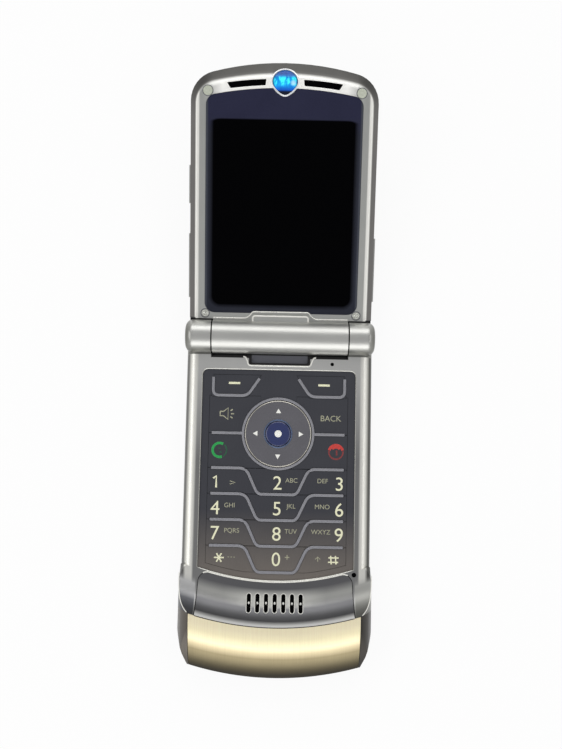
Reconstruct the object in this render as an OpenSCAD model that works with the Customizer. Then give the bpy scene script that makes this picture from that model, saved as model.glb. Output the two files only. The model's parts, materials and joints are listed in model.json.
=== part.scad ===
// Slim flip phone, shown open. Millimetres. X runs to the right, Y from the chin
// towards the flip and Z up from the table. The origin is the centre of the back cover's face.
// Places on the base are given as a distance below the hinge axis, and places on the flip
// as a distance above it, measured along the flip.

/* [Hinge] */
// Distance from the back cover's centre to the hinge axis
hinge_y = 46; // [45.5:0.5:47.5]
// Angle between the base and the open flip
open_angle = 165; // [150:1:170]
// Gap between the two inner faces when closed
closed_gap = 0.4; // [0.35:0.05:0.6]
// Radius of the barrel and knuckles
barrel_r = 4.7; // [4.5:0.1:5]
// Length of the flip's barrel
barrel_len = 37.9; // [36:0.1:39]
// Width over the two knuckles
knuckle_span = 53; // [52:0.1:54]
// Gap between barrel and knuckles
knuckle_gap = 0.35; // [0.2:0.05:0.5]
// Gap between the barrel and the body it turns past
barrel_clear = 0.35; // [0.3:0.05:0.6]
// Width of the sunk lip along the barrel
lip_w = 0.8; // [0.5:0.1:1.2]
// Rounding of the knuckles' outer ends
knuckle_round = 2.1; // [1.5:0.1:3]
// Radius of the steel hinge shaft
shaft_r = 1.4; // [1.2:0.1:1.6]
// Length of the hinge shaft
shaft_len = 12; // [11:0.5:13]
// Radial clearance where the shaft and bush turn
running_gap = 0.05; // [0.02:0.01:0.08]
// Radius of the cam unit in the barrel
cam_unit_r = 2.9; // [2.6:0.1:3.2]
// Length of the cam unit
cam_unit_len = 13; // [11:0.5:14]
// Outer radius of the hollow bush
bush_r = 2.6; // [2.4:0.1:2.9]
// Wall of the hollow bush
bush_wall = 0.5; // [0.4:0.05:0.6]
// Length of the hollow bush
bush_len = 11; // [10:0.5:12]
// Thickness of the rolled flex cable
flex_t = 0.15; // [0.1:0.05:0.2]

/* [Base stack] */
// Thickness of the battery cover
cover_t = 0.8; // [0.6:0.05:1]
// Thickness of the battery
battery_t = 3.6; // [3.2:0.1:4.2]
// Gap over and under the battery
battery_gap = 0.1; // [0.05:0.05:0.2]
// Thickness of the shelf between battery and board
shelf_t = 0.4; // [0.3:0.05:0.8]
// Thickness of the main board
board_t = 0.6; // [0.5:0.1:1]
// Thickness of the dome sheet
dome_sheet_t = 0.1; // [0.08:0.01:0.2]
// Height of a key dome
dome_h = 0.3; // [0.2:0.05:0.4]
// Thickness of the light guide
guide_t = 0.2; // [0.15:0.05:0.4]
// Travel of a key
key_travel = 0.15; // [0.1:0.05:0.3]
// Thickness of the key plates
key_t = 0.5; // [0.4:0.05:0.8]
// Height of the bezel above the keys
bezel_over = 0.3; // [0.2:0.05:0.4]
// Small gap between stacked layers
layer_gap = 0.05; // [0.03:0.01:0.08]

/* [Base body] */
// Width of the base
base_w = 52.2; // [52:0.1:53]
// Distance from the hinge axis to the chin's end
base_reach = 93.3; // [92.5:0.1:95]
// Height of the seam between rear and front housing
seam_z = 4; // [3.5:0.1:4.3]
// Rounding of the front's long edges
front_round = 3; // [2:0.1:3.1]
// Rounding of the back's long edges
back_round = 2.2; // [1.5:0.1:2.8]
// Wall of the housings
wall = 1.2; // [1:0.05:1.5]
// Fine gap between fitted pieces
fit_gap = 0.06; // [0.04:0.01:0.08]

/* [Chin] */
// Width of the chin
chin_w = 53; // [52.6:0.1:54]
// Height of the chin's crest
chin_h = 13.2; // [12.4:0.1:14]
// Width of the chin's front cover
chin_cover_w = 46.2; // [44.5:0.1:47]
// Height at which the chin's sides start to lean in
chin_side_z = 6; // [5.5:0.1:6.5]
// Radius of the chin cover's forward curve
chin_curve_r = 20; // [18:0.5:26]
// Radius of the chin's end in plan
chin_end_r = 81.5; // [75:0.5:95]
// Rounding of the chin's lower end
chin_end_round = 3; // [2:0.1:3.5]
// Distance of the curved edges' centre behind the hinge axis
sweep_centre = 2.8; // [2:0.1:4]
// Distance to the microphone panel's upper edge
panel_start = 67.8; // [67.7:0.1:68.2]
// Distance at which the panel starts to rise
slope_start = 69.7; // [69.4:0.1:70]
// Distance to the crest between panel and cover
crest = 78.9; // [78.5:0.1:79.5]
// Thickness of the chin's two skins
skin_t = 0.8; // [0.6:0.05:1]
// Width by which the microphone panel's lower edge passes the keypad sheet on each side
panel_over = 0.3; // [0:0.1:0.5]
// Rounding of the microphone panel's upper corners
panel_round = 2.4; // [1:0.1:3]
// Number of microphone slots
mic_slots = 7; // [3:2:9]
// Spacing of the microphone slots
mic_pitch = 2.36; // [2:0.01:2.6]
// Width of a microphone slot
mic_slot_w = 1.2; // [0.7:0.01:1.25]
// Length of a microphone slot
mic_slot_len = 4.9; // [3:0.1:5.5]
// Distance to the middle of the microphone slots
mic_d = 73.2; // [72.6:0.1:73.8]

/* [Keypad] */
// Width of the bezel beside the keypad sheet
bezel_side = 4.7; // [4.3:0.1:5]
// Distance to the keypad sheet's upper edge
keypad_top = 9.2; // [9.1:0.1:9.6]
// Distance to the keypad sheet's lower edge
keypad_end = 67.2; // [66.9:0.1:67.3]
// Corner rounding of the keypad sheet
keypad_round = 1.8; // [1:0.1:2.5]
// Margin between the sheet's sides and the keys
key_margin = 2; // [1.8:0.1:2.3]
// Distance to the first row's rib
first_row = 36.7; // [36.6:0.1:37]
// Spacing of the number rows
row_pitch = 7.1; // [6.9:0.05:7.15]
// Width of a raised rib
rib_w = 0.75; // [0.5:0.05:0.9]
// Height of the ribs above the keys
rib_h = 0.2; // [0.1:0.05:0.25]
// Gap around each key
key_gap = 0.06; // [0.04:0.01:0.1]
// Distance to the navigation key's centre
nav_d = 27; // [26.9:0.1:27.1]
// Radius of the navigation ring
nav_r = 9.3; // [9:0.05:9.4]
// Outer radius of the rim around the ring
nav_rim_r = 10.15; // [10:0.05:10.3]
// Height of the navigation ring above the keys
nav_proud = 0.15; // [0.1:0.05:0.2]
// Radius of the select button
select_r = 3.5; // [3:0.1:4]
// Radius of the ring on which the four nav domes lie
nav_dome_ring = 6.4; // [5.5:0.1:7]
// Radius of a key dome
dome_r = 1.8; // [1.2:0.1:2]

/* [Battery] */
// Margin between the battery and the sides of its cover
battery_side = 3; // [2.5:0.5:4]
// Length of the battery
battery_len = 44; // [42:0.5:46]
// Distance from the hinge axis to the battery
battery_top = 18; // [17.5:0.1:18.5]
// Margin between the battery cover and the base's sides
cover_side = 4.1; // [3.6:0.1:4.6]
// Length of the battery cover
cover_len = 62; // [61:0.5:62.5]
// Corner rounding of the battery cover
cover_round = 3; // [1:0.5:5]
// Width of the card holder
card_w = 26; // [24:0.5:28]
// Length of the card holder
card_len = 12; // [10:0.5:12.5]
// Thickness of the card holder
card_t = 1.6; // [1.2:0.1:2.5]

/* [Flip] */
// Width of the flip
flip_w = 51.3; // [51:0.1:52]
// Distance from the hinge axis to the flip's end
flip_reach = 74.6; // [74.2:0.1:75]
// Radius of the flip's curved end
flip_end_r = 77.4; // [74:0.2:82]
// Radius of the inner face's curved end
face_end_r = 92; // [80:1:110]
// Corner radius of the inner face
face_corner_r = 5.2; // [4.6:0.1:5.6]
// Corner radius of the flip
flip_corner_r = 8; // [7:0.5:9]
// Width of the bevel along the flip's sides
bevel_side = 1.95; // [1.5:0.05:2.2]
// Width of the bevel at the flip's end
bevel_end = 3.9; // [3.5:0.1:4.1]
// Height of the bevel
bevel_h = 2.4; // [2:0.1:2.6]
// Thickness of the main lens
lens_t = 1; // [0.8:0.05:1.2]
// Depth of the main lens below the inner face
lens_sink = 0.05; // [0.03:0.01:0.1]
// Thickness of the ledge under the main lens
ledge_t = 0.6; // [0.5:0.05:0.8]
// Thickness of the main display
display_t = 1.5; // [1.2:0.1:1.8]
// Thickness of the flip's board
flip_board_t = 0.5; // [0.4:0.05:0.8]
// Thickness of the outer display
outer_display_t = 1.2; // [1:0.1:1.5]
// Thickness of the outer cover's face
flip_cover_t = 0.8; // [0.7:0.05:1]
// Rounding of the outer cover's edge
flip_cover_round = 1.4; // [1:0.1:1.6]
// Wall of the flip's shells
flip_wall = 1; // [0.9:0.05:1.2]

/* [Display] */
// Width of the flip's face beside the main lens
lens_side = 4.35; // [4.1:0.05:4.6]
// Distance to the main lens's lower edge
lens_low = 6.8; // [6.7:0.1:7.2]
// Distance from the main lens's upper edge to the flip's end
lens_end = 6.9; // [6.7:0.1:7.4]
// Radius of the main lens's curved upper edge
lens_end_r = 99; // [90:1:120]
// Corner radius of the main lens
lens_corner_r = 2.8; // [2.5:0.1:3.2]
// Width of the printed border beside the display window
lens_border = 1.7; // [1.5:0.1:2.6]
// Distance to the display window's lower edge
window_low = 8.6; // [8.2:0.1:9]
// Distance to the display window's upper edge
window_high = 59.5; // [56:0.1:60]
// Width by which the display module passes the window's sides
display_over = 1.1; // [0.6:0.1:1.2]
// Distance to the outer lens's lower edge
outer_lens_low = 9; // [8.5:0.5:11]
// Length of the outer lens
outer_lens_len = 35; // [33:0.5:37]
// Width of the outer lens
outer_lens_w = 28; // [26:0.5:32]
// Thickness of the outer lens
outer_lens_t = 0.5; // [0.4:0.05:0.6]
// Radius of the camera module
camera_r = 3; // [2.6:0.1:3.4]

/* [Trim] */
// Distance from the jewel's centre to the flip's end
jewel_end = 5.35; // [5:0.05:5.6]
// Radius of the jewel
jewel_r = 3.05; // [2.8:0.05:3.2]
// Width of the jewel's rim
jewel_rim_w = 0.4; // [0.3:0.05:0.5]
// Radius of a rubber bumper
bumper_r = 1.35; // [1.2:0.05:1.45]
// Height of a bumper above the inner face
bumper_proud = 0.3; // [0.2:0.05:0.32]
// Radius of a flip screw's head
flip_screw_r = 1.15; // [1:0.05:1.18]
// Radius of a housing screw's head
screw_head_r = 1.6; // [1.4:0.1:1.8]
// Radius of a housing screw's shank
screw_r = 0.8; // [0.7:0.05:0.9]
// Height of the side keys
side_key_h = 1.4; // [1.2:0.1:1.5]
// Height of the side keys above the flip's side
side_key_proud = 0.4; // [0.3:0.05:0.6]
// Travel of the side keys
side_key_travel = 0.3; // [0.2:0.05:0.4]
// Length of the volume key
volume_len = 17.9; // [16:0.1:19]
// Length of the short side key
smart_len = 10.4; // [9:0.1:12]
// Length of the voice key
voice_len = 17.7; // [16:0.1:19]

/* [Hidden] */
$fn = 96;
big_fn = 360;
over = 1;

// Heights in the base, from the table up
bay_top = cover_t + battery_t + 2 * battery_gap;
shelf_top = bay_top + shelf_t;
board_z = shelf_top + layer_gap;
dome_sheet_z = board_z + board_t;
dome_z = dome_sheet_z + dome_sheet_t;
guide_z = dome_z + dome_h + layer_gap;
guide_top = guide_z + guide_t;
key_z = guide_top + key_travel + layer_gap;
key_top = key_z + key_t;
base_t = key_top + bezel_over;
hinge_z = base_t + closed_gap / 2;
lip_z = guide_top + layer_gap;

// Heights in the flip, measured from the hinge axis down to the outer face
face_z = -closed_gap / 2;
lens_z = face_z - lens_sink - lens_t;
face_back = lens_z - ledge_t;
display_z = face_back - layer_gap - display_t;
flip_board_z = display_z - 2 * layer_gap - flip_board_t;
outer_display_z = flip_board_z - 3 * layer_gap - outer_display_t;
cover_in = outer_display_z - 5 * layer_gap;
cover_out = cover_in - flip_cover_t;
flip_seam = flip_board_z + flip_board_t - 3 * layer_gap;

// Plan values
keypad_w = base_w - 2 * bezel_side;
key_half = keypad_w / 2 - key_margin;
panel_w = keypad_w + 2 * panel_over;
cover_w = base_w - 2 * cover_side;
battery_w = cover_w - 2 * battery_side;
lens_w = flip_w - 2 * lens_side;
window_w = lens_w - 2 * lens_border;
display_w = window_w + 2 * display_over;
lens_high = flip_reach - lens_end;
jewel_d = flip_reach - jewel_end;
clear_r = barrel_r + barrel_clear;
// The outer cover's end, clear of the knuckles under the seam
cover_low = sqrt(pow(clear_r, 2) - pow(min(clear_r, -flip_seam), 2)) + fit_gap;
inner_x = barrel_len / 2 + knuckle_gap;
sweep_keypad = keypad_end + sweep_centre;
sweep_panel = panel_start + sweep_centre;
sweep_slope = slope_start + sweep_centre;
sweep_crest = crest + sweep_centre;
slope_rise = chin_h - base_t;
slope_curve_r = (pow(crest - slope_start, 2) + pow(slope_rise, 2)) / (2 * slope_rise);
chin_lean = (chin_w - chin_cover_w) / 2;
chin_side_r = (pow(chin_lean, 2) + pow(chin_h - chin_side_z, 2)) / (2 * chin_lean);
end_centre = base_reach - chin_end_r;
shoulder_d = sqrt(pow(sweep_panel, 2) - pow(chin_w / 2, 2)) - sweep_centre;
shoulder_angle = 24;
fade_len = 10;
flare_start = 62;
flare_full = 72;
taper_start = 80;
taper_mid = 86.7;
taper_in = 1.75;
taper_end = 92;
taper_end_in = 3.9;
keypad_bar = keypad_top - fit_gap;
layer_side = wall + 0.65;
cover_top = hinge_y - cover_len / 2;
card_d = battery_top + battery_len + 2 * battery_gap;
card_top = seam_z - shelf_t;
screw_places = [for (x = [-1, 1], p = [[base_w / 2 - 3.8, 7.3], [chin_w / 2 - 4.1, 80.5]])
    [x * p[0], p[1]]];
screw_end = seam_z + 2;

// Shape of a row rib: half-widths and drops below the row's line
rib_half = key_half - 0.8;
rib_shape = [[rib_half, 0], [9.7, 0], [8.3, 0.9], [5.8, row_pitch - 0.8], [4.9, row_pitch]];
soft_rib = [[key_half - 1, 11.4], [key_half - 1, 16.5], [8.8, 16.5], [5.5, 11.6]];
soft_top = 10.6;
upper_rib = [[nav_rim_r - 0.05, nav_d], [key_half - 0.9, nav_d]];
pillar_half = 5;
key_floor_r = sweep_keypad - 1.6;
nav_tilt_gap = 0.12;
nub_r = 0.8;
select_lift = key_travel + 0.12;
rocker_t = 0.2;
rocker_z = key_z - layer_gap - rocker_t;

// Pieces inside the base
panel_lean = 0.9;
// Centre of the microphone panel's corner rounding, then three points round its corner
panel_tilt = atan(panel_lean / (crest + over - flare_start));
panel_corner_d = panel_start - 1;
panel_corner_x = panel_w / 2 - (crest + over - panel_corner_d) * tan(panel_tilt)
    - panel_round / cos(panel_tilt) + 0.06;
panel_corner_y = sweep_centre - sqrt(pow(sweep_panel + panel_round, 2) - pow(panel_corner_x, 2));
panel_corner = [[panel_corner_x, panel_corner_y],
    [panel_corner_x * 0.93, sweep_centre + (panel_corner_y - sweep_centre) * 0.93],
    [panel_corner_x + 2 * panel_round, panel_corner_y + 2 * panel_round],
    [panel_corner_x + 2 * panel_round, panel_corner_y + 2 * panel_round * sin(panel_tilt)]];
well_half = base_w / 2 - 6.1;
arm_end = 1.6;
arm_round = 0.6;
hinge_end = inner_x + 4.7;
screw_seat = 1;
latch_d = 12.5;
latch_w = 12;
latch_len = 2.8;
latch_travel = 0.8;
can_d = 10.2;
can_w = 15.5;
can_len = 6.4;
can_floor = 1.7;
speaker_d = 84.5;
speaker_r = 5;
speaker_t = 2.6;
speaker_z = 1;
mic_body_d = 77.2;
mic_body_r = 1.8;
mic_body_t = 1.4;
antenna_d = 79.2;
antenna_w = 2 * well_half - 2;
antenna_len = 7.8;
antenna_t = 2.8;
usb_d = 58;
usb_w = 7.6;
usb_h = 3.3;
usb_len = 6;
usb_sink = 0.3;

// Small things on the flip
tab_w = 15.7;
tab_end = 6.1;
tab_h = 1.2;
tab_round = 0.8;
arch_w = 17.2;
arch_end = 7.25;
arch_h = 0.2;
arch_round = 2.3;
recess_step = 0.5;
// Small holes in the bezel, as [x, distance below the hinge axis, radius]
bezel_holes = [[14.8, 7.26, 0.5], [21.6, 65.3, 0.65]];
flip_screw_place = [flip_w / 2 - 4.5, 6.55];
bumper_x = flip_w / 2 - 4.85;
bumper_place = [bumper_x, lens_high - lens_end_r + sqrt(pow(lens_end_r, 2) - pow(bumper_x, 2)) + 1.26];
screw_boss_r = flip_screw_r + 0.7;
display_low = flip_screw_place[1] + screw_boss_r + fit_gap;
bumper_floor = face_z - 0.9;
jewel_floor = face_back + 0.15;
slot_in = 5.3;
slot_w = 1.9;
slot_arc_r = 105;
camera_d = outer_lens_low + 5.5;
outer_display_low = outer_lens_low + 11.5;
outer_display_high = outer_lens_low + outer_lens_len - 1.5;
outer_display_half = outer_lens_w / 2 - 1;
ear_w = 15;
ear_len = 6.6;
ear_d = window_high + 2.6;
ear_t = 1.5;
ear_lip = 1.5;
rocker_half = 1.4;

// Side keys: distance of the middle above the hinge axis
side_key_z = face_z - 3.5;
volume_d = 19.6;
smart_d = 42;
voice_d = 19.2;

// ---- Placing ----

module on_base() translate([0, hinge_y, 0]) children();

module on_flip() translate([0, hinge_y, hinge_z]) rotate([180 - open_angle, 0, 0]) children();

// A solid slab between two heights
module slab(z0, z1) translate([0, 0, z0]) linear_extrude(z1 - z0) children();

module both_sides() {
    children();
    mirror([1, 0, 0]) children();
}

// A block from its low corner to its high corner
module block(low, high) translate(low) cube(high - low);

// A rod along X between two places
module rod_x(x0, x1, r) translate([x0, 0, 0]) rotate([0, 90, 0]) cylinder(h = x1 - x0, r = r);

// A rectangle with rounded corners, centred across, from one distance to another
module rounded(w, y0, y1, r) {
    translate([-w / 2 + r, y0]) square([w - 2 * r, y1 - y0]);
    translate([-w / 2, y0 + r]) square([w, y1 - y0 - 2 * r]);
    for (x = [-1, 1], y = [y0 + r, y1 - r]) translate([x * (w / 2 - r), y]) circle(r);
}

// A straight slot with round ends from one place to another
module slot(a, b, w) {
    translate(a) rotate(atan2(b[1] - a[1], b[0] - a[0])) translate([0, -w / 2])
        square([norm(b - a), w]);
    for (p = [a, b]) translate(p) circle(w / 2, $fn = 32);
}

// A band of even width along a list of points, its bends mitred
function unit(v) = v / norm(v);

function across(v) = [-v[1], v[0]];

function bend(points, i, w) = let(
    a = unit(points[max(i, 1)] - points[max(i, 1) - 1]),
    k = min(i, len(points) - 2),
    b = unit(points[k + 1] - points[k]),
    m = unit(across(a) + across(b)))
    m * w / 2 / (m * across(a));

module band(points, w) polygon(concat(
    [for (i = [0:len(points) - 1]) points[i] + bend(points, i, w)],
    [for (i = [len(points) - 1:-1:0]) points[i] - bend(points, i, w)]));

// Points given as [x, distance], drawn on one side: -1 left, 1 right
function on_side(x, points) = [for (p = points) [x * p[0], -p[1]]];

// ---- Base shapes ----

// Plan of the base, drawn in by an inset
module base_plan(inset = 0) intersection() {
    w = base_w / 2 - inset;
    c = chin_w / 2 - inset;
    polygon([[-w, -clear_r - inset], [w, -clear_r - inset], [w, -flare_start],
        [c, -flare_full], [c, -taper_start], [c - taper_in, -taper_mid],
        [c - taper_end_in, -taper_end], [c - taper_end_in, -base_reach],
        [-c + taper_end_in, -base_reach], [-c + taper_end_in, -taper_end],
        [-c + taper_in, -taper_mid], [-c, -taper_start], [-c, -flare_full], [-w, -flare_start]]);
    translate([0, -end_centre]) circle(chin_end_r - inset, $fn = big_fn);
}

// The base's long back edges and the chin's lower end are rounded by what this keeps
module back_rounding() intersection() {
    rotate([90, 0, 0]) linear_extrude(base_reach + over) {
        translate([-chin_w / 2, back_round]) square([chin_w, chin_h]);
        translate([-chin_w / 2 + back_round, 0]) square([chin_w - 2 * back_round, chin_h]);
        for (x = [-1, 1]) translate([x * (chin_w / 2 - back_round), back_round]) circle(back_round);
    }
    translate([0, -end_centre, 0]) rotate_extrude($fn = big_fn) {
        square([chin_end_r - chin_end_round, chin_h]);
        translate([0, chin_end_round]) square([chin_end_r, chin_h]);
        translate([chin_end_r - chin_end_round, chin_end_round]) circle(chin_end_round);
    }
}

// The front's long edges are rounded by what this keeps
module front_rounding() rotate([90, 0, 0]) linear_extrude(base_reach) {
    translate([-base_w / 2, 0]) square([base_w, base_t - front_round]);
    translate([-base_w / 2 + front_round, 0]) square([base_w - 2 * front_round, base_t]);
    for (x = [-1, 1]) translate([x * (base_w / 2 - front_round), base_t - front_round])
        circle(front_round);
}

// The chin's sides lean in above a height, on one arc each side
module chin_sides() rotate([90, 0, 0]) linear_extrude(base_reach + over) {
    translate([-chin_w / 2, 0]) square([chin_w, chin_side_z]);
    translate([-chin_cover_w / 2 + over, 0]) square([chin_cover_w - 2 * over, chin_h + over / 2]);
    for (x = [-1, 1]) translate([x * (chin_w / 2 - chin_side_r), chin_side_z])
        circle(chin_side_r, $fn = 180);
}

// The front's rounding runs on up the chin's shoulders and fades into their crease
module shoulder_rounding() {
    translate([0, -shoulder_d, base_t]) rotate([90 - shoulder_angle, 0, 0]) linear_extrude(fade_len) {
        translate([-chin_w, -chin_h]) square([2 * chin_w, chin_h - front_round]);
        translate([-chin_w / 2 + front_round, -front_round])
            square([chin_w - 2 * front_round, front_round]);
        for (x = [-1, 1]) translate([x * (chin_w / 2 - front_round), -front_round]) circle(front_round);
    }
    block([-chin_w, -base_reach - over, 0], [chin_w, -shoulder_d - 0.75 * fade_len, chin_h + over]);
}

// Section of the chin: flat, a hollow rise to the crest, then a forward curve
module chin_section(inset = 0) difference() {
    intersection() {
        translate([sweep_panel - over, 0]) square([chin_end_r, chin_h - inset]);
        union() {
            translate([sweep_panel - over, 0]) square([crest - panel_start + over, chin_h]);
            translate([sweep_crest, chin_h - chin_curve_r]) circle(chin_curve_r - inset, $fn = 180);
        }
    }
    translate([sweep_slope, base_t + slope_curve_r]) circle(slope_curve_r + inset, $fn = 180);
    translate([0, base_t - inset]) square([sweep_slope, chin_h]);
}

// A section swept about the upright line on which the keypad's curved edges are centred
module swept() translate([0, sweep_centre, 0]) rotate_extrude($fn = big_fn) children();

// All that is between two sweep radii
module ring_plan(r0, r1) translate([0, sweep_centre]) difference() {
    circle(r1, $fn = big_fn);
    circle(r0, $fn = big_fn);
}

// Plan of the microphone panel, and of the chin cover, grown by a gap
module mic_panel_plan(grow = 0) difference() {
    intersection() {
        ring_plan(sweep_panel - grow, sweep_crest - fit_gap + grow);
        half = panel_w / 2 + grow;
        polygon([[-half + panel_lean, -flare_start], [half - panel_lean, -flare_start],
            [half, -crest - over], [-half, -crest - over]]);
    }
    for (x = [-1, 1]) difference() {
        polygon([for (p = panel_corner) [x * p[0], p[1]]]);
        translate([x * panel_corner[0][0], panel_corner[0][1]]) circle(panel_round + grow);
    }
}

module chin_cover_plan(grow = 0) intersection() {
    ring_plan(sweep_crest - grow, base_reach + chin_end_r);
    translate([-chin_cover_w / 2 - grow, -base_reach - over])
        square([chin_cover_w + 2 * grow, base_reach]);
}

module mic_slots_plan(w) for (i = [0:mic_slots - 1])
    translate([(i - (mic_slots - 1) / 2) * mic_pitch, -mic_d])
        slot([0, -(mic_slot_len - w) / 2], [0, (mic_slot_len - w) / 2], w);

// Plan of the keypad sheet, drawn in by an inset
module keypad_plan(inset = 0) {
    w = keypad_w / 2 - inset;
    intersection() {
        translate([-w, -keypad_end]) square([2 * w, keypad_end - keypad_top - inset - keypad_round]);
        translate([0, sweep_centre]) circle(sweep_keypad - inset, $fn = big_fn);
    }
    translate([0, -keypad_top - inset]) mirror([0, 1])
        intersection() {
            rounded(2 * w, 0, 4 * keypad_round, keypad_round);
            translate([-w, 0]) square([2 * w, 2 * keypad_round]);
        }
}

// Plan of the sheets that lie under the keypad and its bezel
module layer_plan(inset) intersection() {
    translate([-base_w / 2 + layer_side + inset, -keypad_end])
        square([base_w - 2 * layer_side - 2 * inset, keypad_end - keypad_bar - inset]);
    translate([0, sweep_centre]) circle(sweep_keypad - inset, $fn = big_fn);
}

// ---- Ribs and keys ----

function row_d(k) = first_row + (k - 1) * row_pitch;

function row_rib(k) = concat(
    [for (p = rib_shape) [-p[0], -row_d(k) - p[1]]],
    [for (i = [len(rib_shape) - 1:-1:0]) [rib_shape[i][0], -row_d(k) - rib_shape[i][1]]]);

module ribs_plan(grow = 0) {
    for (k = [1:4]) band(row_rib(k), rib_w + 2 * grow);
    for (x = [-1, 1], rib = [soft_rib, upper_rib]) band(on_side(x, rib), rib_w + 2 * grow);
    translate([0, -nav_d]) difference() {
        circle(nav_rim_r + grow);
        circle(nav_r + nav_tilt_gap - grow);
    }
}

// Key cells on one side (-1 left, 1 right), drawn in by a gap g on their straight sides
module soft_cell(x, g) polygon(on_side(x, [[soft_rib[0][0] - g, soft_top + g], soft_rib[1],
    soft_rib[2], [soft_rib[3][0] - 0.6 + 2 * g, soft_top + g]]));

module upper_cell(x, g, d0, d1, inner) difference() {
    polygon(on_side(x, [[key_half - g, d0 + g], [inner, d0 + g], [inner, d1 - g], [key_half - g, d1 - g]]));
    translate([0, -nav_d]) circle(nav_rim_r);
}

module side_cell(x, g, k) intersection() {
    polygon(on_side(x, [[key_half - g, row_d(k) + g], [rib_shape[1][0], row_d(k) + g],
        rib_shape[2] + [0, row_d(k)], rib_shape[3] + [0, row_d(k)],
        [rib_shape[4][0], row_d(k + 1) - g], [key_half - g, row_d(k + 1) - g]]));
    translate([0, sweep_centre]) circle(key_floor_r - g, $fn = big_fn);
}

module centre_cell(g, k) difference() {
    polygon(concat([[-rib_shape[1][0], -row_d(k) - g], [rib_shape[1][0], -row_d(k) - g]],
        [for (i = [2:4]) [rib_shape[i][0], -row_d(k) - rib_shape[i][1]]],
        [for (i = [4:-1:2]) [-rib_shape[i][0], -row_d(k) - rib_shape[i][1]]]));
    translate([0, -nav_d]) circle(nav_rim_r);
}

// Every window in the keypad sheet
module windows_plan() {
    for (x = [-1, 1]) {
        soft_cell(x, 0);
        upper_cell(x, 0, soft_rib[1][1], nav_d, pillar_half);
        upper_cell(x, 0, nav_d, first_row, 0);
        for (k = [1:4]) side_cell(x, 0, k);
    }
    for (k = [1:4]) centre_cell(0, k);
    ribs_plan(key_gap);
    translate([0, -nav_d]) circle(nav_rim_r + key_gap);
}

// One key: its cell, less the ribs and their gap
module key_plate() on_base() slab(key_z, key_top) difference() {
    children();
    ribs_plan(key_gap);
}

// Places of the key domes, as [x, distance below the hinge axis]
key_places = concat(
    [[-13.5, 13.6], [13.5, 13.6], [-14.4, 21.8], [14.4, 21.8], [-15.2, 31.8], [15.2, 31.8]],
    [for (a = [0:90:270]) [nav_dome_ring * cos(a), nav_d + nav_dome_ring * sin(a)]],
    [[0, nav_d]],
    [for (k = [1:4], x = [-14, 0, 14]) [x, row_d(k) + row_pitch / 2 + (k == 1 && x == 0 ? 0.8 : 0)]]);

// ---- Housings of the base ----

// Room in the chin for the antenna and microphone
module chin_well(inset = 0) intersection() {
    base_plan(2 * wall + inset);
    translate([-well_half + inset, -base_reach]) square([2 * well_half - 2 * inset, base_reach]);
    ring_plan(sweep_panel + wall + inset, base_reach + chin_end_r);
}

module cover_plan(grow = 0) rounded(cover_w + 2 * grow, -cover_top - cover_len - grow,
    -cover_top + grow, cover_round + grow);

module screw_holes(r, z0, z1) for (p = screw_places) translate([p[0], -p[1], z0])
    cylinder(h = z1 - z0, r = r);

module at_hinge() translate([0, 0, hinge_z]) children();

module at_usb() translate([-base_w / 2, -usb_d, board_z - usb_h]) children();

module rear_housing() color("#8c8c89") on_base() difference() {
    union() {
        intersection() {
            slab(0, seam_z) base_plan();
            back_rounding();
        }
        slab(seam_z - over, shelf_top) layer_plan(fit_gap);
        slab(seam_z - over, shelf_top) chin_well(fit_gap);
        both_sides() difference() {
            block([inner_x, -clear_r - over, arm_round], [base_w / 2, -arm_end, seam_z]);
            at_hinge() rod_x(inner_x - over, chin_w, barrel_r + fit_gap);
        }
        // Cradle that closes the gap under the hinge barrel
        difference() {
            block([-inner_x - over, -clear_r - over, arm_round], [inner_x + over, -arm_end, seam_z]);
            at_hinge() rod_x(-chin_w, chin_w, clear_r);
        }
    }
    // Battery bay and the step that the cover lies in
    block([-battery_w / 2 - battery_gap, -card_d + battery_gap, -over],
        [battery_w / 2 + battery_gap, -battery_top + battery_gap, bay_top]);
    block([-battery_w / 2 - battery_gap, -card_d - card_len - battery_gap, -over],
        [battery_w / 2 + battery_gap, -card_d, card_top]);
    slab(-over, cover_t + layer_gap) cover_plan(fit_gap);
    // Latch slot, can well, speaker well and its slots
    slab(-over, cover_t + layer_gap) rounded(latch_w + 2 * fit_gap,
        -latch_d - latch_len / 2 - fit_gap, -latch_d + latch_len / 2 + latch_travel + fit_gap, 0.8);
    block([-can_w - 1.4, -can_d - can_len - 0.3, can_floor - 0.1],
        [can_w + 1.4, -can_d + 0.3, shelf_top + over]);
    translate([0, -speaker_d, speaker_z]) cylinder(h = shelf_top, r = speaker_r + 0.1);
    for (i = [-2:2]) slab(-over, speaker_z + over) translate([i * 1.7, -speaker_d])
        slot([0, -3.2 + abs(i)], [0, 3.2 - abs(i)], 0.8);
    at_usb() block([-over, -usb_w / 2 - fit_gap, -fit_gap],
        [usb_len + usb_sink + fit_gap, usb_w / 2 + fit_gap, usb_h]);
    screw_holes(screw_head_r + 0.1, -over, screw_seat);
    screw_holes(screw_r + 0.1, 0, seam_z + over);
}

module knuckle() rotate([0, 90, 0]) rotate_extrude() {
    len = knuckle_span / 2 - inner_x;
    square([barrel_r - knuckle_round, len]);
    square([barrel_r, len - knuckle_round]);
    translate([barrel_r - knuckle_round, len - knuckle_round]) intersection() {
        circle(knuckle_round);
        square(knuckle_round);
    }
}

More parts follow.
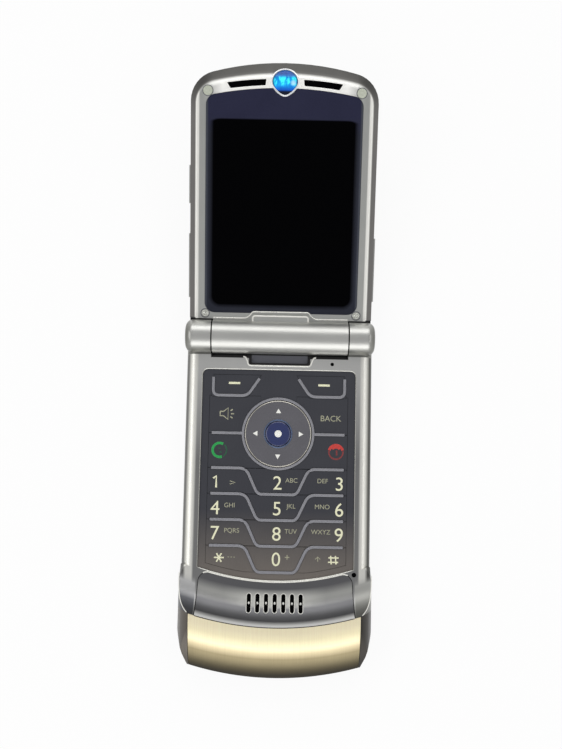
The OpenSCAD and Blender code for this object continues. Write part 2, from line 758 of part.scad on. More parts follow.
module front_housing() color("#a3a4a2") on_base() difference() {
    union() {
        intersection() {
            slab(seam_z, base_t) base_plan();
            front_rounding();
        }
        intersection() {
            slab(seam_z, chin_h + over) intersection() {
                base_plan();
                ring_plan(sweep_panel, base_reach + chin_end_r);
            }
            swept() chin_section();
            chin_sides();
            shoulder_rounding();
        }
        both_sides() {
            at_hinge() translate([inner_x, 0, 0]) knuckle();
            intersection() {
                block([inner_x, -clear_r - over, seam_z], [base_w / 2, 0, base_t]);
                front_rounding();
            }
        }
    }
    // Sunk lip along the barrel
    block([-inner_x, -clear_r - lip_w, base_t - 2 * lip_w], [inner_x, over, base_t + over]);
    // Room for the layers, and the keypad's opening above them
    slab(seam_z - over, lip_z) layer_plan(-fit_gap / 2);
    slab(seam_z, base_t + over) keypad_plan(-fit_gap);
    // Chin room and the seats of its two skins
    intersection() {
        slab(seam_z - over, chin_h) chin_well();
        swept() chin_section(skin_t + fit_gap + wall);
    }
    intersection() {
        slab(seam_z, chin_h + over) {
            mic_panel_plan(fit_gap);
            chin_cover_plan(fit_gap);
        }
        swept() difference() {
            translate([sweep_panel - over, 0]) square([chin_end_r, chin_h + over]);
            chin_section(skin_t + fit_gap);
        }
    }
    slab(shelf_top, chin_h) mic_slots_plan(mic_slot_w - 0.2);
    // Recess that the flip's tab turns into
    slab(base_t - recess_step, base_t + over)
        rounded(tab_w + 2.3, -tab_end - 1.85, -tab_end + 4, 1);
    slab(base_t - tab_h - 0.4, base_t + over)
        rounded(tab_w + 0.4, -tab_end - 1.1, -tab_end + 4, tab_round);
    for (h = bezel_holes) translate([h[0], -h[1], base_t - 1.5]) cylinder(h = 3, r = h[2]);
    at_usb() block([-over, -usb_w / 2 - fit_gap, -fit_gap],
        [usb_len, usb_w / 2 + fit_gap, usb_h + fit_gap]);
    screw_holes(screw_r + 0.02, seam_z - over, screw_end + 0.1);
    // Seats of the hinge shaft and the bush
    at_hinge() rod_x(inner_x - over, hinge_end + 0.1, shaft_r + 0.02);
    at_hinge() rod_x(-hinge_end - 0.1, -inner_x + over, bush_r + 0.02);
}

module mic_panel() color("#74757a") on_base() intersection() {
    swept() difference() {
        chin_section();
        chin_section(skin_t);
    }
    slab(seam_z, chin_h + over) difference() {
        mic_panel_plan();
        mic_slots_plan(mic_slot_w);
    }
}

module chin_cover() color("#cdbd90") on_base() intersection() {
    swept() difference() {
        chin_section();
        chin_section(skin_t);
    }
    slab(seam_z, chin_h + over) intersection() {
        chin_cover_plan();
        base_plan();
    }
    chin_sides();
}

// ---- Keypad ----

module keypad_sheet() color("#3f3e45") on_base() {
    slab(key_z, key_top) difference() {
        keypad_plan();
        windows_plan();
    }
    slab(guide_top, key_z) difference() {
        keypad_plan();
        keypad_plan(0.8);
    }
}

module light_guide() color("#8d8d93") on_base() {
    slab(guide_z, guide_top) difference() {
        layer_plan(0.4);
        translate([0, -nav_d]) circle(nav_r + nav_tilt_gap);
    }
    slab(dome_z, guide_z) difference() {
        layer_plan(0.4);
        layer_plan(1.4);
    }
    slab(guide_top, key_top + rib_h) ribs_plan();
}

module dome_sheet() color("#b9b9b2") on_base() {
    slab(dome_sheet_z, dome_z) layer_plan(0.6);
    for (p = key_places) translate([p[0], -p[1], dome_z])
        cylinder(h = dome_h, r1 = dome_r, r2 = dome_r / 2, $fn = 32);
}

module soft_key(x) color("#3f3e45") key_plate() soft_cell(x, key_gap);

module upper_key(x) color("#3f3e45") key_plate()
    upper_cell(x, key_gap, soft_rib[1][1], nav_d, pillar_half);

module call_key(x) color("#3f3e45") key_plate() upper_cell(x, key_gap, nav_d, first_row, key_gap);

module side_number(x, k) color("#3f3e45") key_plate() side_cell(x, key_gap, k);

module centre_key(k) color("#3f3e45") key_plate() centre_cell(key_gap, k);

module at_nav() on_base() translate([0, -nav_d, 0]) children();

module nav_ring() color("#57565a") at_nav() {
    slab(key_z, key_top + nav_proud) difference() {
        circle(nav_r);
        circle(select_r + nav_tilt_gap);
    }
    for (s = [-1, 1]) translate([0, s * nav_dome_ring, rocker_z])
        cylinder(h = key_z - rocker_z, r = nub_r);
}

// A bar that lets the ring tip left and right, while the ring tips up and down on it
module nav_rocker() color("#b9b9b2") at_nav() slab(rocker_z, rocker_z + rocker_t) difference() {
    rounded(2 * nav_r - 1.8, -rocker_half, rocker_half, 1);
    circle(nub_r + 0.25);
}

module select_button() color("#1d2a5a") at_nav() {
    slab(key_z + select_lift, key_top + nav_proud) circle(select_r);
    slab(rocker_z, key_z + select_lift) circle(nub_r);
}

// ---- Inside the base ----

module main_board() color("#2f6a45") on_base() slab(board_z, dome_sheet_z) layer_plan(0.3);

module board_shields() color("#c5c7c9") on_base() both_sides()
    block([0.6, -can_d - can_len, can_floor], [can_w, -can_d, board_z]);

module usb_socket() color("#b8babc") on_base() at_usb() difference() {
    block([usb_sink, -usb_w / 2, 0], [usb_len + usb_sink, usb_w / 2, usb_h]);
    difference() {
        block([-over, -usb_w / 2 + 0.4, 0.4], [usb_len - 0.4, usb_w / 2 - 0.4, usb_h - 0.4]);
        block([1, -usb_w / 4, usb_h / 2], [usb_len, usb_w / 4, usb_h / 2 + 0.5]);
    }
}

module loudspeaker() color("#26272a") on_base() translate([0, -speaker_d, speaker_z])
    difference() {
        cylinder(h = speaker_t, r = speaker_r);
        translate([0, 0, -over]) cylinder(h = over + 0.4, r = speaker_r - 0.8);
    }

module microphone() color("#c0b070") on_base() translate([0, -mic_body_d, shelf_top]) difference() {
    cylinder(h = mic_body_t, r = mic_body_r);
    translate([0, 0, mic_body_t - 0.3]) cylinder(h = over, r = 0.4);
}

module antenna() color("#c9a24e") on_base() {
    block([-antenna_w / 2, -antenna_d - antenna_len, shelf_top],
        [antenna_w / 2, -antenna_d, shelf_top + antenna_t]);
    slab(shelf_top + antenna_t, shelf_top + antenna_t + 0.15)
        band([[-antenna_w / 2 + 2, -antenna_d - 1.5], [antenna_w / 2 - 2, -antenna_d - 1.5],
            [antenna_w / 2 - 2, -antenna_d - 4.5], [0, -antenna_d - 4.5]], 1.4);
}

module card_holder() color("#c5c7c9") on_base() difference() {
    block([-card_w / 2, -card_d - card_len, card_top - card_t], [card_w / 2, -card_d, card_top]);
    block([-card_w / 2 + 0.5, -card_d - card_len + 0.4, card_top - card_t + 0.3],
        [card_w / 2 - 0.5, -card_d + over, card_top - 0.3]);
}

module housing_screws() color("#77787a") on_base() {
    screw_holes(screw_r, screw_seat - 0.3, screw_end);
    difference() {
        screw_holes(screw_head_r, 0.2, screw_seat);
        for (p = screw_places, a = [0:60:120]) translate([p[0], -p[1], 0.2]) rotate(a)
            cube([1.6, 0.4, 0.8], center = true);
    }
}

module battery() color("#3a3c40") on_base() slab(cover_t + battery_gap, bay_top - battery_gap)
    rounded(battery_w, -battery_top - battery_len, -battery_top, 1);

module battery_cover() color("#8c8c89") on_base() difference() {
    slab(0, cover_t) cover_plan();
    for (i = [0:3]) slab(-over, 0.15) translate([0, -cover_top - 4 - 1.6 * i])
        slot([-7, 0], [7, 0], 0.6);
}

module cover_latch() color("#6f7072") on_base() difference() {
    slab(0, cover_t) rounded(latch_w, -latch_d - latch_len / 2, -latch_d + latch_len / 2, 0.8);
    for (i = [-1:1]) slab(-over, 0.2) translate([i * 2, -latch_d]) slot([0, -0.6], [0, 0.6], 0.6);
}

// ---- Hinge ----

module hinge_cam_unit() color("#9a9da0") on_flip() difference() {
    rod_x(barrel_len / 2 - cam_unit_len, barrel_len / 2, cam_unit_r);
    rod_x(hinge_end - shaft_len - 0.3, barrel_len / 2 + over, shaft_r + running_gap);
}

module hinge_shaft() color("#b5b8ba") on_base() at_hinge() rod_x(hinge_end - shaft_len, hinge_end, shaft_r);

module hinge_bush() color("#b5b8ba") on_base() at_hinge() difference() {
    rod_x(-hinge_end, bush_len - hinge_end, bush_r);
    rod_x(-hinge_end - over, bush_len - hinge_end + over, bush_r - bush_wall);
}

module hinge_flex() color("#b06a28") on_base() at_hinge() difference() {
    r = bush_r - bush_wall - running_gap;
    rod_x(-hinge_end + 1, bush_len - hinge_end + 2, r);
    rod_x(-hinge_end, bush_len - hinge_end + 3, r - flex_t);
}

// ---- Flip ----

// Outline with straight sides, rounded far corners and an end on a wide arc
function arc(cx, cy, r, a0, a1, n) = [for (i = [0:n]) let(a = a0 + (a1 - a0) * i / n)
    [cx + r * cos(a), cy + r * sin(a)]];

function curved(half, low, reach, end_r, r) = let(
    yc = reach - end_r,
    cx = half - r,
    cy = yc + sqrt(pow(end_r - r, 2) - cx * cx),
    a = atan2(cy - yc, cx))
    concat([[-half, low], [half, low]], arc(cx, cy, r, 0, a, 8),
        arc(0, yc, end_r, a, 180 - a, 12), arc(-cx, cy, r, 180 - a, 180, 8));

module flip_plan(side = 0, end = 0, low = clear_r) polygon(curved(flip_w / 2 - side, low,
    flip_reach - end, flip_end_r - end, flip_corner_r - side));

module face_plan() polygon(curved(flip_w / 2 - bevel_side, clear_r, flip_reach - bevel_end,
    face_end_r, face_corner_r));

module flip_room_plan() difference() {
    flip_plan(bevel_side, bevel_end - 0.6, clear_r + flip_wall);
    for (x = [-1, 1]) translate([x * flip_screw_place[0], flip_screw_place[1]])
        circle(screw_boss_r);
}

module lens_plan(grow = 0) difference() {
    intersection() {
        polygon(curved(lens_w / 2 + grow, 0, lens_high + grow, lens_end_r + grow, lens_corner_r + grow));
        rounded(lens_w + 2 * grow, lens_low - grow, lens_high + lens_end_r, lens_corner_r + grow);
    }
    rounded(arch_w + 2 * fit_gap - 2 * grow, 2, arch_end + fit_gap - grow, arch_round);
    egg(jewel_rim_w + 2 * fit_gap - grow);
}

// Egg shape of the jewel: a round end away from the hinge and a narrow one towards it
module egg(grow) hull() {
    translate([0, jewel_d]) circle(jewel_r + grow, $fn = 40);
    translate([0, jewel_d - 0.64 * jewel_r]) circle(0.36 * jewel_r + grow, $fn = 24);
}

module bevelled_face(lift = 0) translate([0, 0, lift]) hull() {
    slab(face_z - layer_gap, face_z) face_plan();
    slab(face_z - bevel_h - layer_gap, face_z - bevel_h) flip_plan();
}

// An earpiece slot along the flip's end, between two distances from the middle
function ear_slot(x0, x1, w) = let(
    r = slot_arc_r,
    yc = flip_reach - slot_in - r)
    concat(arc(0, yc, r + w / 2, acos((x0 - 0.2) / r), acos((x1 + 0.3) / r), 5),
        arc(0, yc, r - w / 2, acos((x1 - 0.5) / r), acos((x0 + 0.1) / r), 5));

// The window of a side key, or its plate, on the +X side
module side_plate(d, len, x0, x1, grow)
    block([x0, d - len / 2 - grow, side_key_z - side_key_h / 2 - grow],
        [x1, d + len / 2 + grow, side_key_z + side_key_h / 2 + grow]);

module side_windows() {
    x0 = flip_w / 2 - bevel_side - over;
    side_plate(voice_d, voice_len, x0, flip_w, 0.12);
    mirror([1, 0, 0]) {
        side_plate(volume_d, volume_len, x0, flip_w, 0.12);
        side_plate(smart_d, smart_len, x0, flip_w, 0.12);
    }
}

module side_key(d, len) {
    room = flip_w / 2 - bevel_side;
    side_plate(d, len, room - side_key_travel - 0.3, flip_w / 2 + side_key_proud, 0);
    side_plate(d, len, room - side_key_travel - 0.4, room - side_key_travel, 0.3);
}

module flip_inner_housing() color("#a3a4a2") on_flip() difference() {
    union() {
        bevelled_face();
        slab(flip_seam, face_z - bevel_h) flip_plan();
        rod_x(-barrel_len / 2, barrel_len / 2, barrel_r);
        block([-barrel_len / 2, 0, flip_seam], [barrel_len / 2, clear_r + flip_wall, face_z]);
        slab(face_z - over, face_z + tab_h) rounded(tab_w, 2, tab_end, tab_round);
        slab(face_z - over, face_z + arch_h) rounded(arch_w, 2, arch_end, arch_round);
    }
    slab(flip_seam - over, face_back) flip_room_plan();
    slab(lens_z, over) lens_plan(layer_gap);
    slab(face_back - over, 0) rounded(window_w, window_low, window_high, 1.5);
    slab(jewel_floor, over) egg(jewel_rim_w + fit_gap);
    slab(face_back - over, over) for (x = [-1, 1])
        polygon([for (p = ear_slot(5.1, 15.4, slot_w)) [x * p[0], p[1]]]);
    both_sides() {
        translate([bumper_place[0], bumper_place[1], bumper_floor])
            cylinder(h = 2, r = bumper_r + fit_gap);
        translate([flip_screw_place[0], flip_screw_place[1], face_z - 0.8])
            cylinder(h = 2, r = flip_screw_r + 0.03);
        translate([flip_screw_place[0], flip_screw_place[1], flip_seam]) cylinder(h = 3, r = 0.65);
    }
    side_windows();
    // Bores for the cam unit, the bush and the flex between them
    rod_x(barrel_len / 2 - cam_unit_len, barrel_len, cam_unit_r + 0.02);
    rod_x(-barrel_len, barrel_len / 2 - cam_unit_len - wall, bush_r + running_gap);
}

module flip_outer_cover() color("#8c8c89") on_flip() difference() {
    union() {
        hull() {
            slab(cover_out, cover_out + layer_gap)
                flip_plan(flip_cover_round, flip_cover_round, cover_low + 0.6 * flip_cover_round);
            slab(cover_out + 0.3 * flip_cover_round, cover_out + 0.4 * flip_cover_round)
                flip_plan(0.3 * flip_cover_round, 0.3 * flip_cover_round,
                    cover_low + 0.2 * flip_cover_round);
            slab(cover_out + flip_cover_round, cover_out + flip_cover_round + layer_gap)
                flip_plan(low = cover_low);
        }
        slab(cover_out + flip_cover_round, flip_seam) flip_plan(low = cover_low);
    }
    slab(cover_in, 0) flip_room_plan();
    slab(cover_out - over, cover_out + outer_lens_t + layer_gap) outer_lens_plan(fit_gap);
    slab(cover_out - over, 0) rounded(2 * outer_display_half - 2, outer_display_low + 0.5,
        outer_display_high - 0.5, 1);
    slab(cover_out - over, 0) translate([0, camera_d]) circle(camera_r + 0.1);
    both_sides() translate([flip_screw_place[0], flip_screw_place[1], cover_in + 0.4])
        cylinder(h = 6, r = 0.65);
    side_windows();
}

module outer_lens_plan(grow = 0) rounded(outer_lens_w + 2 * grow, outer_lens_low - grow,
    outer_lens_low + outer_lens_len + grow, 4);

module main_lens() color("#1c1e26") on_flip() slab(lens_z, lens_z + lens_t) lens_plan();

module main_display() color("#0a0a0c") on_flip()
    block([-display_w / 2, display_low, display_z],
        [display_w / 2, window_high + over, display_z + display_t]);

module outer_lens() color("#23252b") on_flip() slab(cover_out, cover_out + outer_lens_t) outer_lens_plan();

module outer_display() color("#0a0a0c") on_flip()
    block([-outer_display_half, outer_display_low, outer_display_z],
        [outer_display_half, outer_display_high, outer_display_z + outer_display_t]);

module camera_module() color("#202225") on_flip() translate([0, camera_d, 0]) difference() {
    union() {
        slab(cover_in - 0.15, flip_board_z) circle(camera_r);
        slab(cover_in + 0.1, flip_board_z) square(2 * camera_r + 1, center = true);
    }
    translate([0, 0, cover_in - over]) cylinder(h = over + 0.3, r = camera_r - 1);
}

module earpiece() color("#26272a") on_flip() difference() {
    slab(face_back - ear_t, face_back) rounded(ear_w, ear_d, ear_d + ear_len, 2);
    slab(face_back - ear_t / 5, 0) rounded(ear_w - 2 * ear_lip, ear_d + ear_lip,
        ear_d + ear_len - ear_lip, 1.5);
}

module vibrator() color("#b5b8ba") on_flip() translate([0, ear_d + ear_len / 2, side_key_z]) {
    rod_x(-17, -10.5, 1.6);
    rod_x(-10.6, -8.6, 1.1);
}

module jewel() color("#2a62d8") on_flip() intersection() {
    slab(jewel_floor, face_z + 0.2) egg(0);
    bevelled_face(0.2);
}

module jewel_rim() color("#c9cacb") on_flip() intersection() {
    slab(jewel_floor, face_z + 0.12) difference() {
        egg(jewel_rim_w);
        egg(0.03);
    }
    bevelled_face(0.12);
}

module rubber_bumpers() color("#a9ada2") on_flip() both_sides()
    translate([bumper_place[0], bumper_place[1], bumper_floor])
        cylinder(h = face_z + bumper_proud - bumper_floor, r = bumper_r);

module flip_screws() color("#b5b8ba") on_flip() both_sides()
    translate([flip_screw_place[0], flip_screw_place[1], 0]) difference() {
        union() {
            slab(face_z - 0.8, face_z - 0.1) circle(flip_screw_r);
            slab(cover_in + 0.5, face_z - 0.8) circle(0.6);
        }
        for (a = [0:60:120]) rotate(a) cube([1.3, 0.32, 1.2], center = true);
    }

module flip_board() color("#2f6a45") on_flip()
    block([-display_w / 2, window_low + 0.4, flip_board_z],
        [display_w / 2, window_high + over, flip_board_z + flip_board_t]);

module volume_key() color("#8c8c89") on_flip() mirror([1, 0, 0]) side_key(volume_d, volume_len);

module smart_key() color("#8c8c89") on_flip() mirror([1, 0, 0]) side_key(smart_d, smart_len);

module voice_key() color("#8c8c89") on_flip() side_key(voice_d, voice_len);

rear_housing();
front_housing();
mic_panel();
chin_cover();
keypad_sheet();
light_guide();
dome_sheet();
main_board();
board_shields();
usb_socket();
loudspeaker();
microphone();
antenna();
card_holder();
housing_screws();
hinge_cam_unit();
hinge_shaft();
hinge_bush();
hinge_flex();
battery_cover();
cover_latch();
battery();
soft_key(-1);  // soft_key_left
soft_key(1);  // soft_key_right
upper_key(-1);  // speaker_key
upper_key(1);  // back_key
call_key(-1);  // send_key
call_key(1);  // end_key
nav_ring();
nav_rocker();
select_button();
side_number(-1, 1);  // key_1
centre_key(1);  // key_2
side_number(1, 1);  // key_3
side_number(-1, 2);  // key_4
centre_key(2);  // key_5
side_number(1, 2);  // key_6
side_number(-1, 3);  // key_7
centre_key(3);  // key_8
side_number(1, 3);  // key_9
side_number(-1, 4);  // key_star
centre_key(4);  // key_0
side_number(1, 4);  // key_hash
flip_inner_housing();
flip_outer_cover();
main_lens();
main_display();
outer_lens();
outer_display();
camera_module();
earpiece();
vibrator();
jewel();
jewel_rim();
rubber_bumpers();
flip_screws();
flip_board();
volume_key();
smart_key();
voice_key();
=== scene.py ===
import json
import math

import bmesh
import bpy
from mathutils import Matrix, Vector


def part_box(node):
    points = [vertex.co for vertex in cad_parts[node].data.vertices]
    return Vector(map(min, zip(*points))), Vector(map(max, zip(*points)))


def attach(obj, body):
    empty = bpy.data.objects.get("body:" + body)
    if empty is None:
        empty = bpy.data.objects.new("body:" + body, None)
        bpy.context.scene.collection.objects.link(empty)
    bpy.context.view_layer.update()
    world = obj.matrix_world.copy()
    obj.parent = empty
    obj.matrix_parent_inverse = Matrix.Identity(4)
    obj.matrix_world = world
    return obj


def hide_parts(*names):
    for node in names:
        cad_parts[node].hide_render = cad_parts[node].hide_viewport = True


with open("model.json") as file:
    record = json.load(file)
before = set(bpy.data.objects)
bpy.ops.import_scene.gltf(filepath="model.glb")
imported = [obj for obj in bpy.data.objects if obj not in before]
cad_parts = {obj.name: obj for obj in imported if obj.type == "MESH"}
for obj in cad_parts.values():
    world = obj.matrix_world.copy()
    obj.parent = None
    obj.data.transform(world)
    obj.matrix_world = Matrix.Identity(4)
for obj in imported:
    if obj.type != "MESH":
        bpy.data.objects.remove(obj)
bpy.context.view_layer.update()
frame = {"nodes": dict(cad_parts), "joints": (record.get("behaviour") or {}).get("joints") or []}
nodes = frame["nodes"]
scene = bpy.context.scene

# The base lies flat, and the flip is turned about the hinge. Both are modelled in millimetres
hinge = Vector(next(j["pos_m"] for j in frame["joints"] if j["name"] == "flip_hinge"))
flipTilt = math.radians(15)
basePlace = Matrix.Translation((0, hinge.y, 0)) @ Matrix.Scale(0.001, 4)
flipPlace = Matrix.Translation(hinge) @ Matrix.Rotation(flipTilt, 4, "X") @ Matrix.Scale(0.001, 4)
sweepCentre = 2.8  # the curved edges' centre, past the hinge axis


def linear(code):
    parts = [int(code[i:i + 2], 16) / 255 for i in (1, 3, 5)]
    return [p / 12.92 if p <= 0.04045 else ((p + 0.055) / 1.055) ** 2.4 for p in parts] + [1]


def smoothShade(bm, angle):
    for face in bm.faces:
        face.smooth = True
    for e in bm.edges:
        e.smooth = len(e.link_faces) == 2 and e.calc_face_angle(0) < math.radians(angle)


def toObject(bm, name, place=None, angle=35):
    if place is not None:
        bmesh.ops.transform(bm, matrix=place, verts=bm.verts)
    smoothShade(bm, angle)
    mesh = bpy.data.meshes.new(name)
    bm.to_mesh(mesh)
    bm.free()
    piece = bpy.data.objects.new(name, mesh)
    scene.collection.objects.link(piece)
    return piece


def dress(piece, body, material, replaced=()):
    piece.data.materials.clear()
    piece.data.materials.append(material)
    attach(piece, body)
    if replaced:
        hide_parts(*replaced)
    return piece


def evenNormals(piece):
    mod = piece.modifiers.new("evenNormals", "WEIGHTED_NORMAL")
    mod.keep_sharp = True
    mod.weight = 90
    return piece


# Angles in degrees: an edge flatter than the first is dissolved, one over the second is bevelled,
# and one over the third is shaded sharp
soften = {"weld": 2e-6, "flat": 0.4, "sharp": 32, "shade": 40}


# A merged copy of a CAD node, its sharp edges broken by a small bevel
def softCopy(node, name, width, steps=2):
    bm = bmesh.new()
    bm.from_mesh(nodes[node].data)
    bmesh.ops.remove_doubles(bm, verts=bm.verts, dist=soften["weld"])
    if width:
        bmesh.ops.dissolve_limit(bm, angle_limit=math.radians(soften["flat"]), verts=bm.verts,
                                 edges=bm.edges)
        chosen = [e for e in bm.edges
                  if len(e.link_faces) == 2 and e.calc_face_angle(0) > math.radians(soften["sharp"])]
        bmesh.ops.bevel(bm, geom=chosen, offset=width * 0.001, offset_type="OFFSET",
                        affect="EDGES", segments=steps, profile=0.5, material=-1,
                        clamp_overlap=False)
    return evenNormals(toObject(bm, name, None, soften["shade"]))


# A solid of revolution about Z from a few points (radius, height)
def lathe(profile, steps=96):
    bm = bmesh.new()
    line = [bm.verts.new((r, 0, z)) for r, z in profile]
    edges = [bm.edges.new(pair) for pair in zip(line, line[1:])]
    bmesh.ops.spin(bm, geom=line + edges, cent=(0, 0, 0), axis=(0, 0, 1),
                   angle=math.tau, steps=steps, use_merge=True)
    bmesh.ops.remove_doubles(bm, verts=bm.verts, dist=1e-4)
    bmesh.ops.recalc_face_normals(bm, faces=bm.faces)
    return bm


def shift(bm, by):
    bmesh.ops.translate(bm, vec=by, verts=bm.verts)


def newGroup(name, inputs, outputs):
    group = bpy.data.node_groups.new(name, "ShaderNodeTree")
    for label, kind, value in inputs:
        socket = group.interface.new_socket(label, in_out="INPUT", socket_type=kind)
        if value is not None:
            socket.default_value = value
    for label, kind in outputs:
        group.interface.new_socket(label, in_out="OUTPUT", socket_type=kind)
    return group, group.nodes.new("NodeGroupInput"), group.nodes.new("NodeGroupOutput")


def setInputs(node, values):
    for label, value in values.items():
        node.inputs[label].default_value = value


# Gives a socket a fixed value or a link
def feed(tree, socket, value):
    if isinstance(value, (int, float, list, tuple)):
        socket.default_value = value
    else:
        tree.links.new(value, socket)


def calc(tree, operation, first, second=None):
    node = tree.nodes.new("ShaderNodeMath")
    node.operation = operation
    feed(tree, node.inputs[0], first)
    if second is not None:
        feed(tree, node.inputs[1], second)
    return node.outputs[0]


# Maps a value from a range to 0..1
def ramp(tree, value, low, high):
    node = tree.nodes.new("ShaderNodeMapRange")
    setInputs(node, {"From Min": low, "From Max": high})
    tree.links.new(value, node.inputs["Value"])
    return node.outputs["Result"]


def mixColour(tree, mask, first, second):
    node = tree.nodes.new("ShaderNodeMix")
    node.data_type = "RGBA"
    for index, value in ((0, mask), (6, first), (7, second)):
        feed(tree, node.inputs[index], value)
    return node.outputs[2]


def mixValue(tree, mask, first, second):
    node = tree.nodes.new("ShaderNodeMix")
    for index, value in ((0, mask), (2, first), (3, second)):
        feed(tree, node.inputs[index], value)
    return node.outputs[0]


def product(tree, *masks):
    whole = masks[0]
    for mask in masks[1:]:
        whole = calc(tree, "MULTIPLY", whole, mask)
    return whole


def noise(group, vector, **settings):
    node = group.nodes.new("ShaderNodeTexNoise")
    group.links.new(vector, node.inputs["Vector"])
    setInputs(node, settings)
    return node


# A value about its middle, times an amount
def swing(group, value, middle, amount):
    return calc(group, "MULTIPLY", calc(group, "SUBTRACT", value, middle), amount)


heightAndShade = [("Height", "NodeSocketFloat"), ("Shade", "NodeSocketFloat")]


# Fine paint grain: a height for bump and a tone round 1 for colour
def makeGrainGroup():
    group, entry, out = newGroup("paintGrain", [("Vector", "NodeSocketVector", None),
        ("Scale", "NodeSocketFloat", 6.0), ("Tone", "NodeSocketFloat", 0.08)], heightAndShade)
    fine = noise(group, entry.outputs["Vector"], Detail=3)
    wide = noise(group, entry.outputs["Vector"], Scale=0.12, Detail=2)
    group.links.new(entry.outputs["Scale"], fine.inputs["Scale"])
    mixed = calc(group, "ADD", fine.outputs["Fac"], wide.outputs["Fac"])
    toned = swing(group, mixed, 1.0, entry.outputs["Tone"])
    group.links.new(calc(group, "ADD", toned, 1.0), out.inputs["Shade"])
    group.links.new(fine.outputs["Fac"], out.inputs["Height"])
    return group


# Brush lines along one direction, set by how much the other direction is packed
def makeBrushGroup():
    group, entry, out = newGroup("brushLines", [("Vector", "NodeSocketVector", None),
        ("Pack", "NodeSocketVector", (9, 0.16, 1)), ("Tone", "NodeSocketFloat", 0.2)], heightAndShade)
    packed = group.nodes.new("ShaderNodeVectorMath")
    packed.operation = "MULTIPLY"
    group.links.new(entry.outputs["Vector"], packed.inputs[0])
    group.links.new(entry.outputs["Pack"], packed.inputs[1])
    lines = noise(group, packed.outputs[0], Scale=1, Detail=4, Roughness=0.7)
    toned = swing(group, lines.outputs["Fac"], 0.5, entry.outputs["Tone"])
    group.links.new(calc(group, "ADD", toned, 1.0), out.inputs["Shade"])
    group.links.new(lines.outputs["Fac"], out.inputs["Height"])
    return group


# Handling marks: roughness that drifts a little over the surface
def makeSmudgeGroup():
    group, entry, out = newGroup("handling", [("Vector", "NodeSocketVector", None),
        ("Roughness", "NodeSocketFloat", 0.4), ("Amount", "NodeSocketFloat", 0.08)],
        [("Roughness", "NodeSocketFloat")])
    cloud = noise(group, entry.outputs["Vector"], Scale=0.16, Detail=5)
    moved = swing(group, cloud.outputs["Fac"], 0.5, entry.outputs["Amount"])
    group.links.new(calc(group, "ADD", moved, entry.outputs["Roughness"]),
                    out.inputs["Roughness"])
    return group


groups = {"grain": makeGrainGroup(), "brush": makeBrushGroup(), "smudge": makeSmudgeGroup()}


def newMaterial(name):
    material = bpy.data.materials.new(name)
    material.use_nodes = True
    return material, material.node_tree, material.node_tree.nodes["Principled BSDF"]


# Object coordinates in millimetres, in the base's or the flip's own frame
def localMm(tree, onFlip=False):
    coords = tree.nodes.new("ShaderNodeTexCoord")
    mapping = tree.nodes.new("ShaderNodeMapping")
    mapping.vector_type = "TEXTURE"
    setInputs(mapping, {"Location": hinge if onFlip else (0, hinge.y, 0),
                        "Rotation": (flipTilt if onFlip else 0, 0, 0), "Scale": (0.001, 0.001, 0.001)})
    tree.links.new(coords.outputs["Object"], mapping.inputs["Vector"])
    return mapping.outputs["Vector"]


def axes(tree, vector):
    node = tree.nodes.new("ShaderNodeSeparateXYZ")
    tree.links.new(vector, node.inputs[0])
    return node.outputs


def addGroup(tree, group, vector, **values):
    node = tree.nodes.new("ShaderNodeGroup")
    node.node_tree = groups[group]
    tree.links.new(vector, node.inputs["Vector"])
    setInputs(node, values)
    return node


# Roughness with handling marks
def smudged(tree, shader, local, rough, amount):
    smudge = addGroup(tree, "smudge", local, Roughness=rough, Amount=amount)
    tree.links.new(smudge.outputs["Roughness"], shader.inputs["Roughness"])


def bump(tree, shader, height, strength):
    node = tree.nodes.new("ShaderNodeBump")
    setInputs(node, {"Strength": strength, "Distance": 0.00002})
    tree.links.new(height, node.inputs["Height"])
    tree.links.new(node.outputs["Normal"], shader.inputs["Normal"])


# Base colour times a tone that varies
def tinted(tree, shader, colour, shade):
    node = tree.nodes.new("ShaderNodeVectorMath")
    node.operation = "SCALE"
    feed(tree, node.inputs[0], colour[:3] if isinstance(colour, list) else colour)
    tree.links.new(shade, node.inputs["Scale"])
    tree.links.new(node.outputs[0], shader.inputs["Base Color"])


# Length of the line from two of its sides
def spread(tree, *sides):
    squares = [calc(tree, "MULTIPLY", side, side) for side in sides]
    return calc(tree, "SQRT", calc(tree, "ADD", *squares))


def sweepRadius(tree, vector):
    x, y = axes(tree, vector)[:2]
    return spread(tree, x, calc(tree, "SUBTRACT", y, sweepCentre))


# A colour and metallic share that turn to others over parts of the piece: (colour, metallic, masks)
def mixedParts(tree, local, paint, metal, parts):
    for other, otherMetal, *masks in parts:
        share = both(*masks)(tree, local)
        paint = mixColour(tree, share, paint, linear(other))
        metal = mixValue(tree, share, metal, otherMetal)
    return paint, metal


# A patterned surface. Parts of it turn to other colours
def surface(name, colour, pattern, settings, rough, wear, strength, metallic=0.0, onFlip=False,
            parts=(), gloss=0.5, coat=0.0):
    material, tree, shader = newMaterial(name)
    local = localMm(tree, onFlip)
    texture = addGroup(tree, pattern, local, **settings)
    paint, metal = mixedParts(tree, local, linear(colour), metallic, parts)
    tinted(tree, shader, paint, texture.outputs["Shade"])
    smudged(tree, shader, local, rough, wear)
    feed(tree, shader.inputs["Metallic"], metal)
    setInputs(shader, {"Specular IOR Level": gloss, "Coat Weight": coat, "Coat Roughness": 0.08})
    bump(tree, shader, texture.outputs["Height"], strength)
    return material


# Satin paint over metal, with a fine grain
def satinPaint(name, colour, rough, metallic, onFlip=False, parts=()):
    return surface(name, colour, "grain", {"Scale": 9.0, "Tone": 0.07}, rough, 0.1, 0.25, metallic,
                   onFlip, parts)


